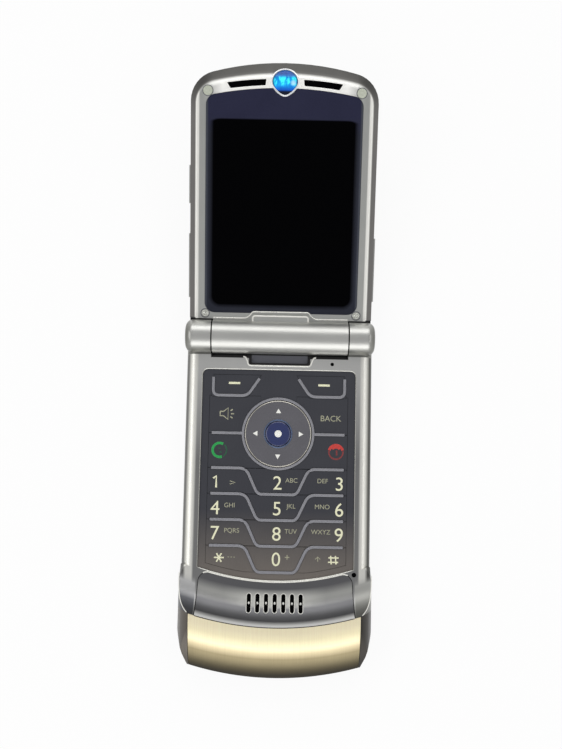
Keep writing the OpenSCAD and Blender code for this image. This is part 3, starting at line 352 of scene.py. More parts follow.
# Brushed metal: lines run along the direction with the small packing number
def brushedMetal(name, colour, pack, rough, tone=0.25, strength=0.35, parts=(), metallic=1.0,
                 wear=0.12):
    return surface(name, colour, "brush", {"Pack": pack, "Tone": tone}, rough, wear, strength,
                   metallic, parts=parts)


# Moulded plastic or rubber
def moulded(name, colour, rough, tone=0.12, gloss=0.5, coat=0.0, onFlip=False):
    return surface(name, colour, "grain", {"Scale": 7.0, "Tone": tone}, rough, 0.1, 0.2,
                   onFlip=onFlip, gloss=gloss, coat=coat)


# A band of one axis or of the sweep radius: full between the two inner numbers
def within(axis, rise=None, fall=None):
    def mask(tree, local):
        x, y, z = axes(tree, local)[:3]
        value = {"right": x, "y": y, "z": z}.get(axis)
        if axis == "x":
            value = calc(tree, "ABSOLUTE", x)
        if axis == "sweep":
            value = sweepRadius(tree, local)
        edges = [ramp(tree, value, *pair) for pair in (rise, fall) if pair]
        return product(tree, *edges)
    return mask


def both(*masks):
    return lambda tree, local: product(tree, *[mask(tree, local) for mask in masks])


# Painted light and shade on the base's paint: knuckles, side strips, walls, shoulders, end cap, gap along
# the barrel
onBase = within("y", None, (-5.0, -5.1))
onKnuckles = within("y", (-5.1, -5.0))
alongBarrel = within("x", None, (19.34, 19.26))
onShoulder = both(within("sweep", (64.8, 69.0)), within("z", (7.3, 7.5)))
lowShoulder = both(within("sweep", (74.6, 78.5)), within("z", (7.3, 7.5)))
onLeft, onRight = within("right", None, (-21.6, -22.0)), within("right", (21.6, 22.0))
onCap = within("sweep", (81.55, 81.65))
basePaintedLight = [
    # Painted light: the face lighter towards the hinge and the knuckles lighter, with painted shade on
    # the knuckles' side towards the keypad and at their ends
    ("#cdcdca", 0.88, onBase, within("y", (-34.0, -9.0))),
    ("#c6c6c2", 0.88, onKnuckles),
    ("#80807c", 0.88, onKnuckles, within("y", None, (-2.8, -4.0))),
    ("#74746f", 0.88, onKnuckles, within("x", (24.2, 26.0))),
    # Painted shadow on the knuckles' side towards the flip, in the gap between them
    ("#131313", 0.2, within("y", (4.2, 4.6))),
    # A painted highlight on each side strip, and the side walls painted darker as shade
    ("#e9e8e1", 0.75, within("x", (22.6, 23.1)), onBase),
    ("#6f6f6d", 0.85, within("right", None, (-24.7, -25.4)), onBase),
    ("#51514e", 0.85, within("right", (24.5, 25.3)), onBase),
    # Shoulders of the chin: a painted highlight above and painted shade below, different on each side
    ("#cfcfce", 0.75, onShoulder, onLeft),
    ("#56575b", 0.85, lowShoulder, onLeft),
    ("#bfbfba", 0.85, onShoulder, onRight),
    ("#7d7d79", 0.85, lowShoulder, onRight),
    # The end cap painted dark as shade, its right side darker
    ("#5c5751", 0.6, onCap),
    ("#36332f", 0.6, onCap, within("right", (20.0, 21.0))),
    # Painted shadow in the gap along the barrel and on the floor of the tab's recess
    ("#060607", 0.0, within("y", (-5.9, -5.84)), alongBarrel, within("z", None, (7.34, 7.3))),
    ("#0c0c0e", 0.0, within("y", (-8.3, -8.2)), within("x", None, (8.7, 8.6)),
     within("z", None, (7.24, 7.2))),
]
# Painted shadow on the cradle under the barrel, where it shows through the gap
cradlePaintedShadow = [("#08080a", 0.0, within("y", (-5.2, -5.1)), alongBarrel, within("z", (0.8, 1.0)))]

# Painted light and shade on the flip's paint: inner face a little darker, a painted highlight as the
# bright stripe by each side and as the pale end, painted shade on the bevel, darker near the end, and a
# painted shadow on the end by the knuckles
pastBarrel = within("y", (4.7, 4.75))
flipPaintedLight = [
    ("#bbbcb8", 0.85, pastBarrel, within("z", (-0.5, -0.4))),
    ("#f4f3ed", 0.4, within("x", (22.95, 23.25)), pastBarrel, within("z", (-0.95, -0.5))),
    ("#fbfaf6", 0.2, within("y", (62.5, 66.8)), within("z", (-1.4, -0.3)),
     within("x", None, (22.0, 17.0))),
    ("#696765", 0.85, within("z", None, (-0.5, -0.95)), pastBarrel),
    ("#504f4d", 0.85, within("z", None, (-0.3, -1.4)), within("y", (60, 69))),
    ("#0a0a0b", 0.0, within("y", None, (5.35, 5.2)), within("x", (19.1, 19.2)),
     within("z", None, (-0.3, -0.4))),
]
# Painted shadow on the cover's end by the knuckles, where it shows through the gap
coverPaintedShadow = [("#0a0a0b", 0.0, within("y", None, (5.6, 5.4)), within("z", (-4.2, -4.1)))]


# The rim colour is a painted highlight along the lens's long sides
lensPrint = {"upperSharp": 3.0, "inkFade": (-4, 1), "highlightFade": (20.6, 21.0), "rim": "#464951"}


# A flat lens: dark print all round, a painted highlight along its long sides, and a black window with
# round corners and a soft edge
def printedLens(name, border, upper, window, half, low, high, soft, corner):
    material, tree, shader = newMaterial(name)
    local = localMm(tree, True)
    x, y = axes(tree, local)[:2]
    across = calc(tree, "SUBTRACT", calc(tree, "ABSOLUTE", x), half)
    above = calc(tree, "MULTIPLY", calc(tree, "SUBTRACT", y, high), lensPrint["upperSharp"])
    past = calc(tree, "MAXIMUM", above, calc(tree, "SUBTRACT", low, y))
    reach = [calc(tree, "MAXIMUM", calc(tree, "ADD", side, corner), 0.0)
             for side in (across, past)]
    inside = ramp(tree, spread(tree, *reach), corner + soft, corner)
    grain = addGroup(tree, "grain", local, Scale=3.0, Tone=0.25)
    ink = mixColour(tree, ramp(tree, y, *[high + fade for fade in lensPrint["inkFade"]]),
                    linear(border), linear(upper))
    ink = mixColour(tree, ramp(tree, calc(tree, "ABSOLUTE", x), *lensPrint["highlightFade"]), ink,
                    linear(lensPrint["rim"]))
    tinted(tree, shader, mixColour(tree, inside, ink, linear(window)), grain.outputs["Shade"])
    smudged(tree, shader, local, 0.14, 0.06)
    shader.inputs["Specular IOR Level"].default_value = 0.04
    return material


# The jewel's colours, its light painted in, with the places between which each fades in
gem = {
    "deep": "#06489c", "middle": "#0f9df0", "middleFade": (71.5, 70.0),
    "paintedSparkle": "#3ceaf6", "paintedSparkleGrain": (0.46, 0.56), "paintedSparkleFades": ((71.0, 70.3), (67.9, 68.9)),
    "paintedGlint": "#a3dcf6", "paintedGlintAt": (2.2, 69.1), "paintedGlintFade": (0.9, 0.3),
    "low": "#0a5cc8", "lowFade": (68.6, 67.4),
    "edge": "#0b4a78", "edgeAt": (0, 69.3), "edgeFade": (2.8, 3.3),
    "tip": "#050d24", "tipFade": (67.3, 66.8),
}


# Clear blue jewel with its light painted in: cyan in the middle, deep at its far edge and rim and navy at
# its narrow end as painted shade, painted sparkle streaks and a painted glint
def jewelGlass(name):
    material, tree, shader = newMaterial(name)
    local = localMm(tree, True)
    x, y = axes(tree, local)[:2]

    def reach(place):
        sides = [calc(tree, "SUBTRACT", side, at) for side, at in zip((x, y), place)]
        return spread(tree, *sides)

    def over(paint, share, colour):
        return mixColour(tree, share, paint, linear(gem[colour]))

    streak = addGroup(tree, "brush", local, Pack=(0.9, 0.45, 0.5), Tone=1.2)
    paint = over(linear(gem["deep"]), ramp(tree, y, *gem["middleFade"]), "middle")
    paintedSparkle = product(tree, ramp(tree, streak.outputs["Height"], *gem["paintedSparkleGrain"]),
                    *[ramp(tree, y, *fade) for fade in gem["paintedSparkleFades"]])
    paint = over(paint, paintedSparkle, "paintedSparkle")
    paint = over(paint, ramp(tree, reach(gem["paintedGlintAt"]), *gem["paintedGlintFade"]), "paintedGlint")
    paint = over(paint, ramp(tree, y, *gem["lowFade"]), "low")
    paint = over(paint, ramp(tree, reach(gem["edgeAt"]), *gem["edgeFade"]), "edge")
    paint = over(paint, ramp(tree, y, *gem["tipFade"]), "tip")
    tinted(tree, shader, paint, streak.outputs["Shade"])
    # A faint painted glow from the jewel's own colours
    tree.links.new(paint, shader.inputs["Emission Color"])
    setInputs(shader, {"Emission Strength": 0.18, "Roughness": 0.1, "Specular IOR Level": 0.35})
    return material


# The near-white edge paint stands as a painted highlight on bars along edges, painted dimmer along the
# keypad's long sides
edgeHighlightParts = [("#b5b4ae", 0.8, within("x", (20.9, 21.3), (22.0, 21.8)))]
# Painted light: the keys lighter and warmer towards the chin
etchedPaintedLight = [("#847d76", 0.7, within("y", (-48, -68)))]
# Painted light on the gold cover: a lighter top, a pale painted highlight band, and painted shade
# darkening towards its end
goldPaintedLight = [
    ("#fff3cf", 0.5, within("sweep", None, (88.0, 84.5))),
    ("#fff4ca", 0.38, within("sweep", (83.6, 85.4), (88.8, 87.4))),
    ("#83795f", 1.0, within("sweep", (87.6, 90.4))),
    ("#363229", 1.0, within("sweep", (90.8, 95.2))),
]
# Painted light on the microphone panel: a lighter band over the slots, brightest in the middle, painted
# shade past it and a painted highlight at its edge by the crest
onSlots = within("sweep", (72.4, 74.6), (77.6, 75.2))
panelPaintedLight = [
    ("#b2b2ae", 0.8, onSlots),
    ("#e3e3dc", 0.8, onSlots, within("x", None, (14.0, 4.0))),
    ("#5c5c5e", 0.9, within("sweep", (77.0, 79.5))),
    ("#dededc", 0.15, within("sweep", (80.4, 81.3))),
]

paints = {  # colour, roughness, metallic, on the flip, parts
    "silver": ("#8f8f8e", 0.34, 0.88, False, basePaintedLight),
    "edge": ("#f0efe8", 0.28, 0.45, False, edgeHighlightParts),
    # The flip's edge paint is the same: a painted highlight on bars along the tab and arch
    "flipEdge": ("#efeee7", 0.28, 0.45, True),
    "shade": ("#6c6d74", 0.4, 0.6),
    "selectRim": ("#5c6a86", 0.3, 0.8),
    "flipSilver": ("#c6c6c2", 0.36, 0.88, True, flipPaintedLight),
    "backSilver": ("#858583", 0.38, 0.85, False, cradlePaintedShadow),
    "flipBack": ("#a9a9a6", 0.4, 0.8, True, coverPaintedShadow),
    "panel": ("#707072", 0.34, 0.9, False, panelPaintedLight),
    "navDisc": ("#76757a", 0.42, 0.85),
    "navLip": ("#dcd8cc", 0.18, 1.0),
    "chrome": ("#f4f5f6", 0.16, 0.5, True),
    "screw": ("#cfd0c8", 0.3, 1.0, True),
    "castUnit": ("#9a9da0", 0.45, 0.9),
    "plated": ("#c9a24e", 0.3, 0.9),
}
plastics = {  # colour, roughness, tone, gloss, coat, on the flip
    # Near-black for plugs and bars put in holes, slots and seams as painted shade
    "pit": ("#030304", 0.8, 0.3, 0.02),
    "darkGreen": ("#1c5138", 0.5),
    "darkRed": ("#7c2f30", 0.5),
    "rib": ("#85858b", 0.35),
    "navy": ("#18265a", 0.25, 0.12, 0.5, 0.8),
    "white": ("#f0f0ea", 0.5, 0.04),
    "legend": ("#e6e5c4", 0.5, 0.05),
    "faint": ("#a5a48c", 0.5, 0.05),
    "green": ("#1f9a4a", 0.45),
    "red": ("#c23a34", 0.45),
    "display": ("#020203", 0.3, 0.12, 0.05),
    "bumper": ("#b9bdae", 0.6, 0.12, 0.5, 0.0, True),
    "board": ("#2f6a45", 0.35),
    "foil": ("#b9b9b2", 0.4),
    "black": ("#26272a", 0.5),
    "copper": ("#b06a28", 0.35),
    "battery": ("#3a3c40", 0.4),
}
brushed = {  # colour, packing, roughness, tone, strength, parts, metallic, wear
    "gold": ("#dacba7", (8, 0.1, 0.1), 0.32, 0.34, 0.5, goldPaintedLight),
    "etched": ("#494a50", (7, 0.3, 1), 0.42, 0.28, 0.3, etchedPaintedLight, 0.7, 0.14),
    "steel": ("#b9bbbc", (2, 6, 2), 0.35),
}
lenses = {  # border, upper border, window, its half width, lower and upper end, softness, corner
    "lens": ("#2c2e37", "#2b2c40", "#000001", 19.2, 9.2, 59.3, 1.2, 2.2),
    "outerLens": ("#25272c", "#25272c", "#08090b", 12, 20.5, 42.5, 0.3, 1.0),
}
mats = {"jewel": jewelGlass("jewel")}
for make, rows in ((satinPaint, paints), (moulded, plastics), (brushedMetal, brushed),
                   (printedLens, lenses)):
    for name, row in rows.items():
        mats[name] = make(name, *row)
print("materials made")


# Nodes that show as they are
keptNodes = {
    "steel": ["board_shields", "card_holder", "usb_socket", "hinge_shaft", "hinge_bush",
              "housing_screws"],
    "castUnit": ["hinge_cam_unit", "vibrator"],
    "board": ["main_board", "flip_board"],
    "foil": ["dome_sheet", "nav_rocker"],
    "black": ["loudspeaker", "earpiece", "camera_module", "cover_latch"],
    "copper": ["hinge_flex"],
    "plated": ["antenna", "microphone"],
    "battery": ["battery"],
    "display": ["main_display", "outer_display"],
    "screw": ["flip_screws"],
}
for finish, names in keptNodes.items():
    for name in names:
        for slot in nodes[name].material_slots:
            slot.material = mats[finish]


# Shells: merged copies of their nodes: piece name, body, slot, finish and width of the broken edge
shells = {
    "front_housing": ("frontHousing", "base", "silver_metal", "silver", 0),
    "rear_housing": ("rearHousing", "base", "rear_plastic", "backSilver", 0),
    "mic_panel": ("micPanel", "base", "panel_grey", "panel", 0),
    "chin_cover": ("chinCover", "base", "chin_gold", "gold", 0.12),
    "keypad_sheet": ("keypadSheet", "base", "keypad_metal", "etched", 0),
    "battery_cover": ("batteryCover", "battery_cover", "back_metal", "backSilver", 0.08),
    "flip_inner_housing": ("flipInner", "flip", "silver_metal", "flipSilver", 0),
    "flip_outer_cover": ("flipOuter", "flip", "back_metal", "flipBack", 0),
    "main_lens": ("mainLens", "flip", "lens_dark", "lens", 0),
    "outer_lens": ("outerLens", "flip", "outer_lens_dark", "outerLens", 0.08),
    "volume_key": ("volumeKey", "volume_key", "back_metal", "flipBack", 0.12),
    "smart_key": ("smartKey", "smart_key", "back_metal", "flipBack", 0.12),
    "voice_key": ("voiceKey", "voice_key", "back_metal", "flipBack", 0.12),
}
for node, (name, body, slot, finish, width) in shells.items():
    dress(softCopy(node, name, width), body, mats[finish], [node])


lightGuide = {"underKeys": 0.00003}


# Below the ribs' round tops the light guide is cut flush with the keys
def makeLightGuide():
    bm = bmesh.new()
    bm.from_mesh(nodes["light_guide"].data)
    bmesh.ops.remove_doubles(bm, verts=bm.verts, dist=soften["weld"])
    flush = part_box("key_5")[1][2] - lightGuide["underKeys"]
    parts = bm.verts[:] + bm.edges[:] + bm.faces[:]
    cut = bmesh.ops.bisect_plane(bm, geom=parts, plane_co=(0, 0, flush), plane_no=(0, 0, 1),
                                 dist=1e-7, clear_outer=True)
    rims = [e for e in cut["geom_cut"] if isinstance(e, bmesh.types.BMEdge)]
    bmesh.ops.triangle_fill(bm, use_beauty=True, edges=rims)
    bmesh.ops.recalc_face_normals(bm, faces=bm.faces)
    dress(toObject(bm, "lightGuide"), "base", mats["etched"], ["light_guide"])


makeLightGuide()

keyNodes = ["soft_key_left", "soft_key_right", "speaker_key", "back_key", "send_key", "end_key",
            "key_star", "key_0", "key_hash"] + [f"key_{n}" for n in range(1, 10)]
for node in keyNodes:
    dress(softCopy(node, node + "Plate", 0.05, 1), node, mats["etched"], [node])
print("shells made")


# A list of points with each bend turned into a short curve
def roundBends(points, radius):
    steps = 5
    path = [Vector(points[0])]
    for before, bend, after in zip(points, points[1:], points[2:]):
        before, bend, after = Vector(before), Vector(bend), Vector(after)
        reach = min(radius, (before - bend).length / 2, (after - bend).length / 2)
        start = bend + (before - bend).normalized() * reach
        end = bend + (after - bend).normalized() * reach
        for i in range(steps + 1):
            t = i / steps
            path.append(start * (1 - t) ** 2 + bend * 2 * t * (1 - t) + end * t * t)
    return path + [Vector(points[-1])]


def mirrored(points):
    return [Vector((-p[0], *p[1:])) for p in points]


def bothSides(points, closed=False):
    return [(points, closed), (mirrored(points), closed)]


# Round bars along paths: (points, closed) each, pressed flat by a share of their height
def bars(paths, radius, height=1.0, sides=3):
    curve = bpy.data.curves.new("bars", "CURVE")
    curve.dimensions = "3D"
    curve.bevel_depth = radius
    curve.bevel_resolution = sides
    curve.use_fill_caps = True
    for points, closed in paths:
        spline = curve.splines.new("POLY")
        spline.points.add(len(points) - 1)
        for spot, p in zip(spline.points, points):
            spot.co = (p[0], p[1], p[2] / height, 1)
        spline.use_cyclic_u = closed
    bm = bmesh.new()
    bm.from_mesh(bpy.data.meshes.new_from_object(bpy.data.objects.new("bars", curve)))
    bmesh.ops.scale(bm, vec=(1, 1, height), verts=bm.verts)
    bmesh.ops.remove_doubles(bm, verts=bm.verts, dist=1e-5)
    bmesh.ops.recalc_face_normals(bm, faces=bm.faces)
    return bm


# Links a detail piece, in the flip's frame or the base's
def add(bm, name, body, finish, angle=35, replaced=()):
    piece = toObject(bm, name, flipPlace if body == "flip" else basePlace, angle)
    return dress(piece, body, mats[finish], replaced)


def addBars(name, body, finish, paths, radius, height=1.0, sides=3):
    return add(bars(paths, radius, height, sides), name, body, finish, 50)


def merged(shapes):
    whole = bmesh.new()
    for bm in shapes:
        mesh = bpy.data.meshes.new("part")
        bm.to_mesh(mesh)
        bm.free()
        whole.from_mesh(mesh)
        bpy.data.meshes.remove(mesh)
    return whole


def ringPath(radius, x, y, z, steps=96):
    return [Vector((x + radius * math.cos(math.tau * i / steps),
                    y + radius * math.sin(math.tau * i / steps), z)) for i in range(steps)]


# Heights and curves that the base's pieces share
base = {
    "keyTop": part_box("key_5")[1][2] * 1000, "top": 7.3, "navTop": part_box("nav_ring")[1][2] * 1000,
    "keypadHalf": 21.4, "keypadTop": 9.2, "keypadRound": 1.8, "keypadSweep": 70,
    "panelSweep": 70.6, "slopeSweep": 72.5, "crestSweep": 81.7, "slopeRadius": 10.12,
    "chinHalf": 26.5, "chinSideZ": 6, "chinLean": 3.4, "crestZ": 13.2,
}
flipTop = -0.2  # the inner face, from the hinge axis


# Height of the hollow slope at a sweep radius
def slopeHeight(radius):
    run = max(0.0, min(radius, base["crestSweep"]) - base["slopeSweep"])
    return base["top"] + base["slopeRadius"] - math.sqrt(base["slopeRadius"] ** 2 - run ** 2)


def sweepY(x, radius):
    return sweepCentre - math.sqrt(radius ** 2 - x ** 2)


def onSweep(x, radius, lift=0.0):
    return Vector((x, sweepY(x, radius), slopeHeight(radius) + lift))


def onSlope(x, y, lift=0.0):
    return Vector((x, y, slopeHeight(math.hypot(x, y - sweepCentre)) + lift))


# Raised ribs of the keypad, with round bends and ends
ribs = {
    "radius": 0.4, "height": 0.5, "bend": 1.6, "rows": [36.7, 43.8, 50.9, 58.0],
    "row": [(18.4, 0), (9.7, 0), (8.3, 0.9), (5.8, 6.3), (4.9, 7.1)],
    "soft": [(18.4, 11.4), (18.4, 16.5), (8.8, 16.5), (5.5, 11.6)],
    "side": [(18.5, 27.0), (10.0, 27.0)], "lift": 0.14,
    "ring": 9.8, "ringAt": 27, "ringLift": 0.1, "ringRadius": 0.37, "ringHeight": 0.7,
}


def makeRibs():
    z = base["keyTop"] + ribs["lift"]
    paths = []
    for d in ribs["rows"]:
        right = [Vector((x, -d - drop, z)) for x, drop in ribs["row"]]
        paths.append((roundBends(mirrored(right) + right[::-1], ribs["bend"]), False))
    for shape in (ribs["soft"], ribs["side"]):
        paths += bothSides(roundBends([(x, -d, z) for x, d in shape], ribs["bend"]))
    addBars("keypadRibs", "base", "rib", paths, ribs["radius"], ribs["height"])
    outer = [(ringPath(ribs["ring"], 0, -ribs["ringAt"], base["keyTop"] + ribs["ringLift"]), True)]
    addBars("ringRim", "base", "rib", outer, ribs["ringRadius"], ribs["ringHeight"], 4)


makeRibs()


# Navigation ring: bright lip, arrows, and the rim and dot of the select button. Profiles are
# (radius, height above the ring's top)
nav = {
    "d": 27, "outer": 9.3, "hole": 3.62, "break": 0.12, "ringTop": [(5.2, -0.04), (8.4, -0.02)],
    "lip": 9.12, "lipRadius": 0.13, "rim": 3.83, "rimLift": -0.02, "rimRadius": 0.2, "rimHeight": 0.7,
    "under": 6.5, "selectUnder": 6.77, "select": 3.5, "selectEdge": 0.2,
    "selectTop": [(0, 0.05), (1.6, 0.03), (2.9, -0.02), (3.38, -0.08)],
    "nub": 0.8, "nubAt": 6.4, "nubEnd": 6.25, "nubTall": 0.26, "nubMiddle": 6.38,
    "arrows": 4, "arrowAt": 6.4, "arrow": 0.95, "arrowTop": 0.96, "arrowThick": 0.05,
    "arrowShrink": 0.9, "arrowLift": 0.02,
    "dot": [(0, 0.14), (0.5, 0.13), (0.85, 0.09), (0.98, 0.04), (0.98, -0.05), (0, -0.05)],
}


def disc(radius, top, thick, sides):
    bm = bmesh.new()
    bmesh.ops.create_cone(bm, cap_ends=True, segments=sides, radius1=radius, radius2=top, depth=thick)
    return bm


def makeArrow(turn, z):
    bm = disc(nav["arrow"], nav["arrow"] * nav["arrowTop"], nav["arrowThick"], 3)
    bmesh.ops.scale(bm, vec=(nav["arrowShrink"], nav["arrowShrink"], 1), verts=bm.verts)
    middle = (max(v.co.y for v in bm.verts) + min(v.co.y for v in bm.verts)) / 2
    shift(bm, (0, nav["arrowAt"] - middle, z + nav["arrowLift"]))
    bmesh.ops.rotate(bm, cent=(0, 0, 0), matrix=Matrix.Rotation(turn, 3, "Z"), verts=bm.verts)
    shift(bm, (0, -nav["d"], 0))
    return bm


def makeNavDetail():
    z = base["navTop"]
    low, broken = nav["under"], nav["break"]
    hole, outer, select, nub = nav["hole"], nav["outer"], nav["select"], nav["nub"]
    ring = lathe([(hole, low), (hole, z - broken), (hole + broken, z)]
                 + [(r, z + h) for r, h in nav["ringTop"]]
                 + [(outer - broken, z), (outer, z - broken), (outer, low), (hole, low)])
    button = lathe([(r, z + h) for r, h in nav["selectTop"]]
                   + [(select, z - nav["selectEdge"]), (select, nav["selectUnder"]),
                      (nub, nav["selectUnder"]), (nub, nav["nubEnd"]), (0, nav["nubEnd"])])
    nubs = []
    for k in (-1, 1):
        bm = disc(nub, nub, nav["nubTall"], 32)
        shift(bm, (0, nav["nubAt"] * k, nav["nubMiddle"]))
        nubs.append(bm)
    ring = merged([ring] + nubs)
    for bm in (ring, button):
        shift(bm, (0, -nav["d"], 0))
    add(ring, "navRing", "nav_ring", "navDisc", 40, ["nav_ring"])
    add(button, "selectButton", "select_button", "navy", 40, ["select_button"])
    addBars("ringLip", "nav_ring", "navLip", [(ringPath(nav["lip"], 0, -nav["d"], z), True)],
            nav["lipRadius"])
    addBars("selectRim", "nav_ring", "selectRim",
            [(ringPath(nav["rim"], 0, -nav["d"], z + nav["rimLift"]), True)], nav["rimRadius"],
            nav["rimHeight"])
    arrows = [makeArrow(math.tau * i / nav["arrows"], z) for i in range(nav["arrows"])]
    add(merged(arrows), "ringArrows", "nav_ring", "white")
    dot = lathe(nav["dot"], 40)
    shift(dot, (0, -nav["d"], z))
    add(dot, "selectDot", "select_button", "white")


makeNavDetail()


# Painted marks on the keys. The capital's height and middle are the font's own, before scaling
ink = {"lift": 0.02, "thick": 0.005, "capital": 0.729, "middle": 0.365, "small": 1.3, "word": 1.65,
       "penHeight": 0.15}


# A legend's place is its middle, its size the height of a capital
def lettering(text, place, height, z):
    curve = bpy.data.curves.new("letters", "FONT")
    curve.body = text
    curve.align_x = "CENTER"
    curve.extrude = ink["thick"]
    bm = bmesh.new()
    bm.from_mesh(bpy.data.meshes.new_from_object(bpy.data.objects.new("letters", curve)))
    low = min(v.co.y for v in bm.verts)
    high = max(v.co.y for v in bm.verts)
    single = len(text) == 1
    size = height / (high - low if single else ink["capital"])
    middle = (low + high) / 2 if single else ink["middle"]
    shift(bm, (0, -middle, 0))
    bmesh.ops.scale(bm, vec=(size, size, 1), verts=bm.verts)
    shift(bm, (place[0], -place[1], z))
    return bm


legends = {  # key: (mark, x, distance, height), (letters, x, distance)
    "key_2": (("2", 0.1, 40.6, 3.7), ("ABC", 4.0, 39.8)),
    "key_3": (("3", 17.3, 40.6, 3.7), ("DEF", 12.6, 39.8)),
    "key_4": (("4", -17.0, 47.7, 3.7), ("GHI", -13.05, 46.9)),
    "key_5": (("5", 0.1, 47.7, 3.7), ("JKL", 4.0, 46.9)),
    "key_6": (("6", 17.3, 47.7, 3.7), ("MNO", 12.6, 46.9)),
    "key_7": (("7", -17.0, 54.6, 3.7), ("PQRS", -12.3, 53.8)),
    "key_8": (("8", 0.1, 54.6, 3.7), ("TUV", 4.0, 53.8)),
    "key_9": (("9", 17.3, 54.6, 3.7), ("WXYZ", 12.3, 53.8)),
    "key_0": (("0", 0.1, 61.5, 3.7), ("+", 3.15, 60.9)),
    "back_key": (None, ("BACK", 14.6, 22.4)),
}


def makeLegends():
    z = base["keyTop"] + ink["lift"]
    for key, (mark, letters) in legends.items():
        if mark:
            bm = lettering(mark[0], mark[1:3], mark[3], z)
            add(bm, key + "Digit", key, "legend")
        if letters:
            height = ink["word" if key == "back_key" else "small"]
            bm = lettering(letters[0], letters[1:3], height, z)
            add(bm, key + "Letters", key, "faint")


makeLegends()


# Marks drawn with a pen of one width: lists of strokes from the mark's middle
def penMark(name, key, finish, middle, strokes, pen):
    z = base["keyTop"] + ink["lift"]
    paths = [([Vector((middle[0] + x, -middle[1] + y, z)) for x, y in line], False)
             for line in strokes]
    addBars(name, key, finish, paths, pen, ink["penHeight"], 2)


def arcLine(radius, start, end):
    steps = 16
    turn = [math.radians(start + (end - start) * i / steps) for i in range(steps + 1)]
    return [(radius * math.cos(a), radius * math.sin(a)) for a in turn]


penMark("softMarkLeft", "soft_key_left", "legend", (-12.5, 13.0), [[(-1.6, 0), (1.6, 0)]], 0.3)
penMark("softMarkRight", "soft_key_right", "legend", (12.6, 13.2), [[(-1.6, 0), (1.6, 0)]], 0.3)
penMark("starMark", "key_star", "legend", (-15.6, 61.3),
        [[arcLine(1.35, a, a)[0], arcLine(1.35, a + 180, a)[0]] for a in (0, 60, -60)], 0.2)
penMark("hashMark", "key_hash", "legend", (15.9, 61.4),
        [[(-1.35, 0.6), (1.45, 0.6)], [(-1.45, -0.6), (1.35, -0.6)],
         [(-0.55, -1.15), (-0.75, 1.15)], [(0.75, -1.15), (0.55, 1.15)]], 0.18)
penMark("speakerMark", "speaker_key", "faint", (-14.4, 21.65),
        [[(-1.9, 0.6), (-1.0, 0.6), (0.3, 1.6), (0.3, -1.6), (-1.0, -0.6), (-1.9, -0.6), (-1.9, 0.6)],
         [(0.95, 0.8), (1.6, 1.25)], [(1.1, 0), (1.95, 0)], [(0.95, -0.8), (1.6, -1.25)]], 0.16)
penMark("callMark", "send_key", "green", (-16.2, 31.8), [arcLine(1.95, 60, 290)], 0.36)
penMark("callGlyph", "send_key", "darkGreen", (-16.2, 31.8),
        [arcLine(1.95, 300, 410), [(-0.4, 0.4), (0.2, 0.6)], [(-0.1, -0.7), (0.6, -0.5)]], 0.2)
penMark("endMark", "end_key", "red", (16.2, 31.8),
        [arcLine(1.95, 15, 165), arcLine(1.4, 40, 140)], 0.38)
penMark("endGlyph", "end_key", "darkRed", (16.2, 31.8),
        [arcLine(1.95, 170, 370), [(0.2, 0.5), (0.2, -0.9)]], 0.22)
penMark("starSmallMark", "key_star", "faint", (-12.2, 61.1),
        [[(-1.0, 0), (-0.6, 0)], [(-0.2, 0), (0.2, 0)], [(0.6, 0), (1.0, 0)]], 0.1)
penMark("hashSmallMark", "key_hash", "faint", (11.6, 61.2),
        [[(-0.7, -0.1), (0, 0.6), (0.7, -0.1)], [(0, 0.6), (0, -0.7)]], 0.1)
penMark("key_1Digit", "key_1", "legend", (-17.0, 40.6),
        [[(-0.75, 0.95), (0.1, 1.6), (0.1, -1.6)]], 0.27)
penMark("mailMark", "key_1", "faint", (-12.3, 40.7),
        [[(-0.8, 0.4), (0.7, 0), (-0.8, -0.5)]], 0.12)
print("keys marked")


# Painted highlights as near-white bars along the base's rolled edges, and black bars as painted shade in
# its seams: bar radius, and how far each lies outside its opening and above it
edges = {
    "keypad": 0.13, "keypadOut": 0.14, "keypadLift": -0.02,
    "recess": 0.22, "recessLift": -0.08, "recessBend": 1.5,
    "recessPath": [(10.2, -5.5), (9.6, -5.6), (9.05, -6.6), (8.7, -8.0)],
    "panel": 0.2, "panelOut": 0.14, "seam": 0.1, "seamOut": 0.06, "seamLift": -0.06,
    "crease": 0.13, "creaseStart": 0.02, "creaseEnd": 0.4, "creaseSteps": 14,
    "crestHalf": 21.42, "crestSteps": 42, "crestOut": 0.02, "crestLift": -0.02,
}
panel = {"side": 21.72, "sideEnd": -76.0, "lean": 0.0533, "crest": 78.9, "cornerX": 18.71,
         "cornerY": -67.76, "corner": 2.42, "inset": 0.7}


def keypadOutline(z, grow):
    steps = 12
    half = base["keypadHalf"] + grow
    top = -base["keypadTop"] + grow
    sweep = base["keypadSweep"] + grow
    low = sweepY(half, sweep)
    corners = [(-half, low, z), (-half, top, z), (half, top, z), (half, low, z)]
    path = roundBends(corners, base["keypadRound"])
    across = [i * half / steps for i in range(steps - 1, -steps, -1)]
    return path + [Vector((x, sweepY(x, sweep), z)) for x in across]


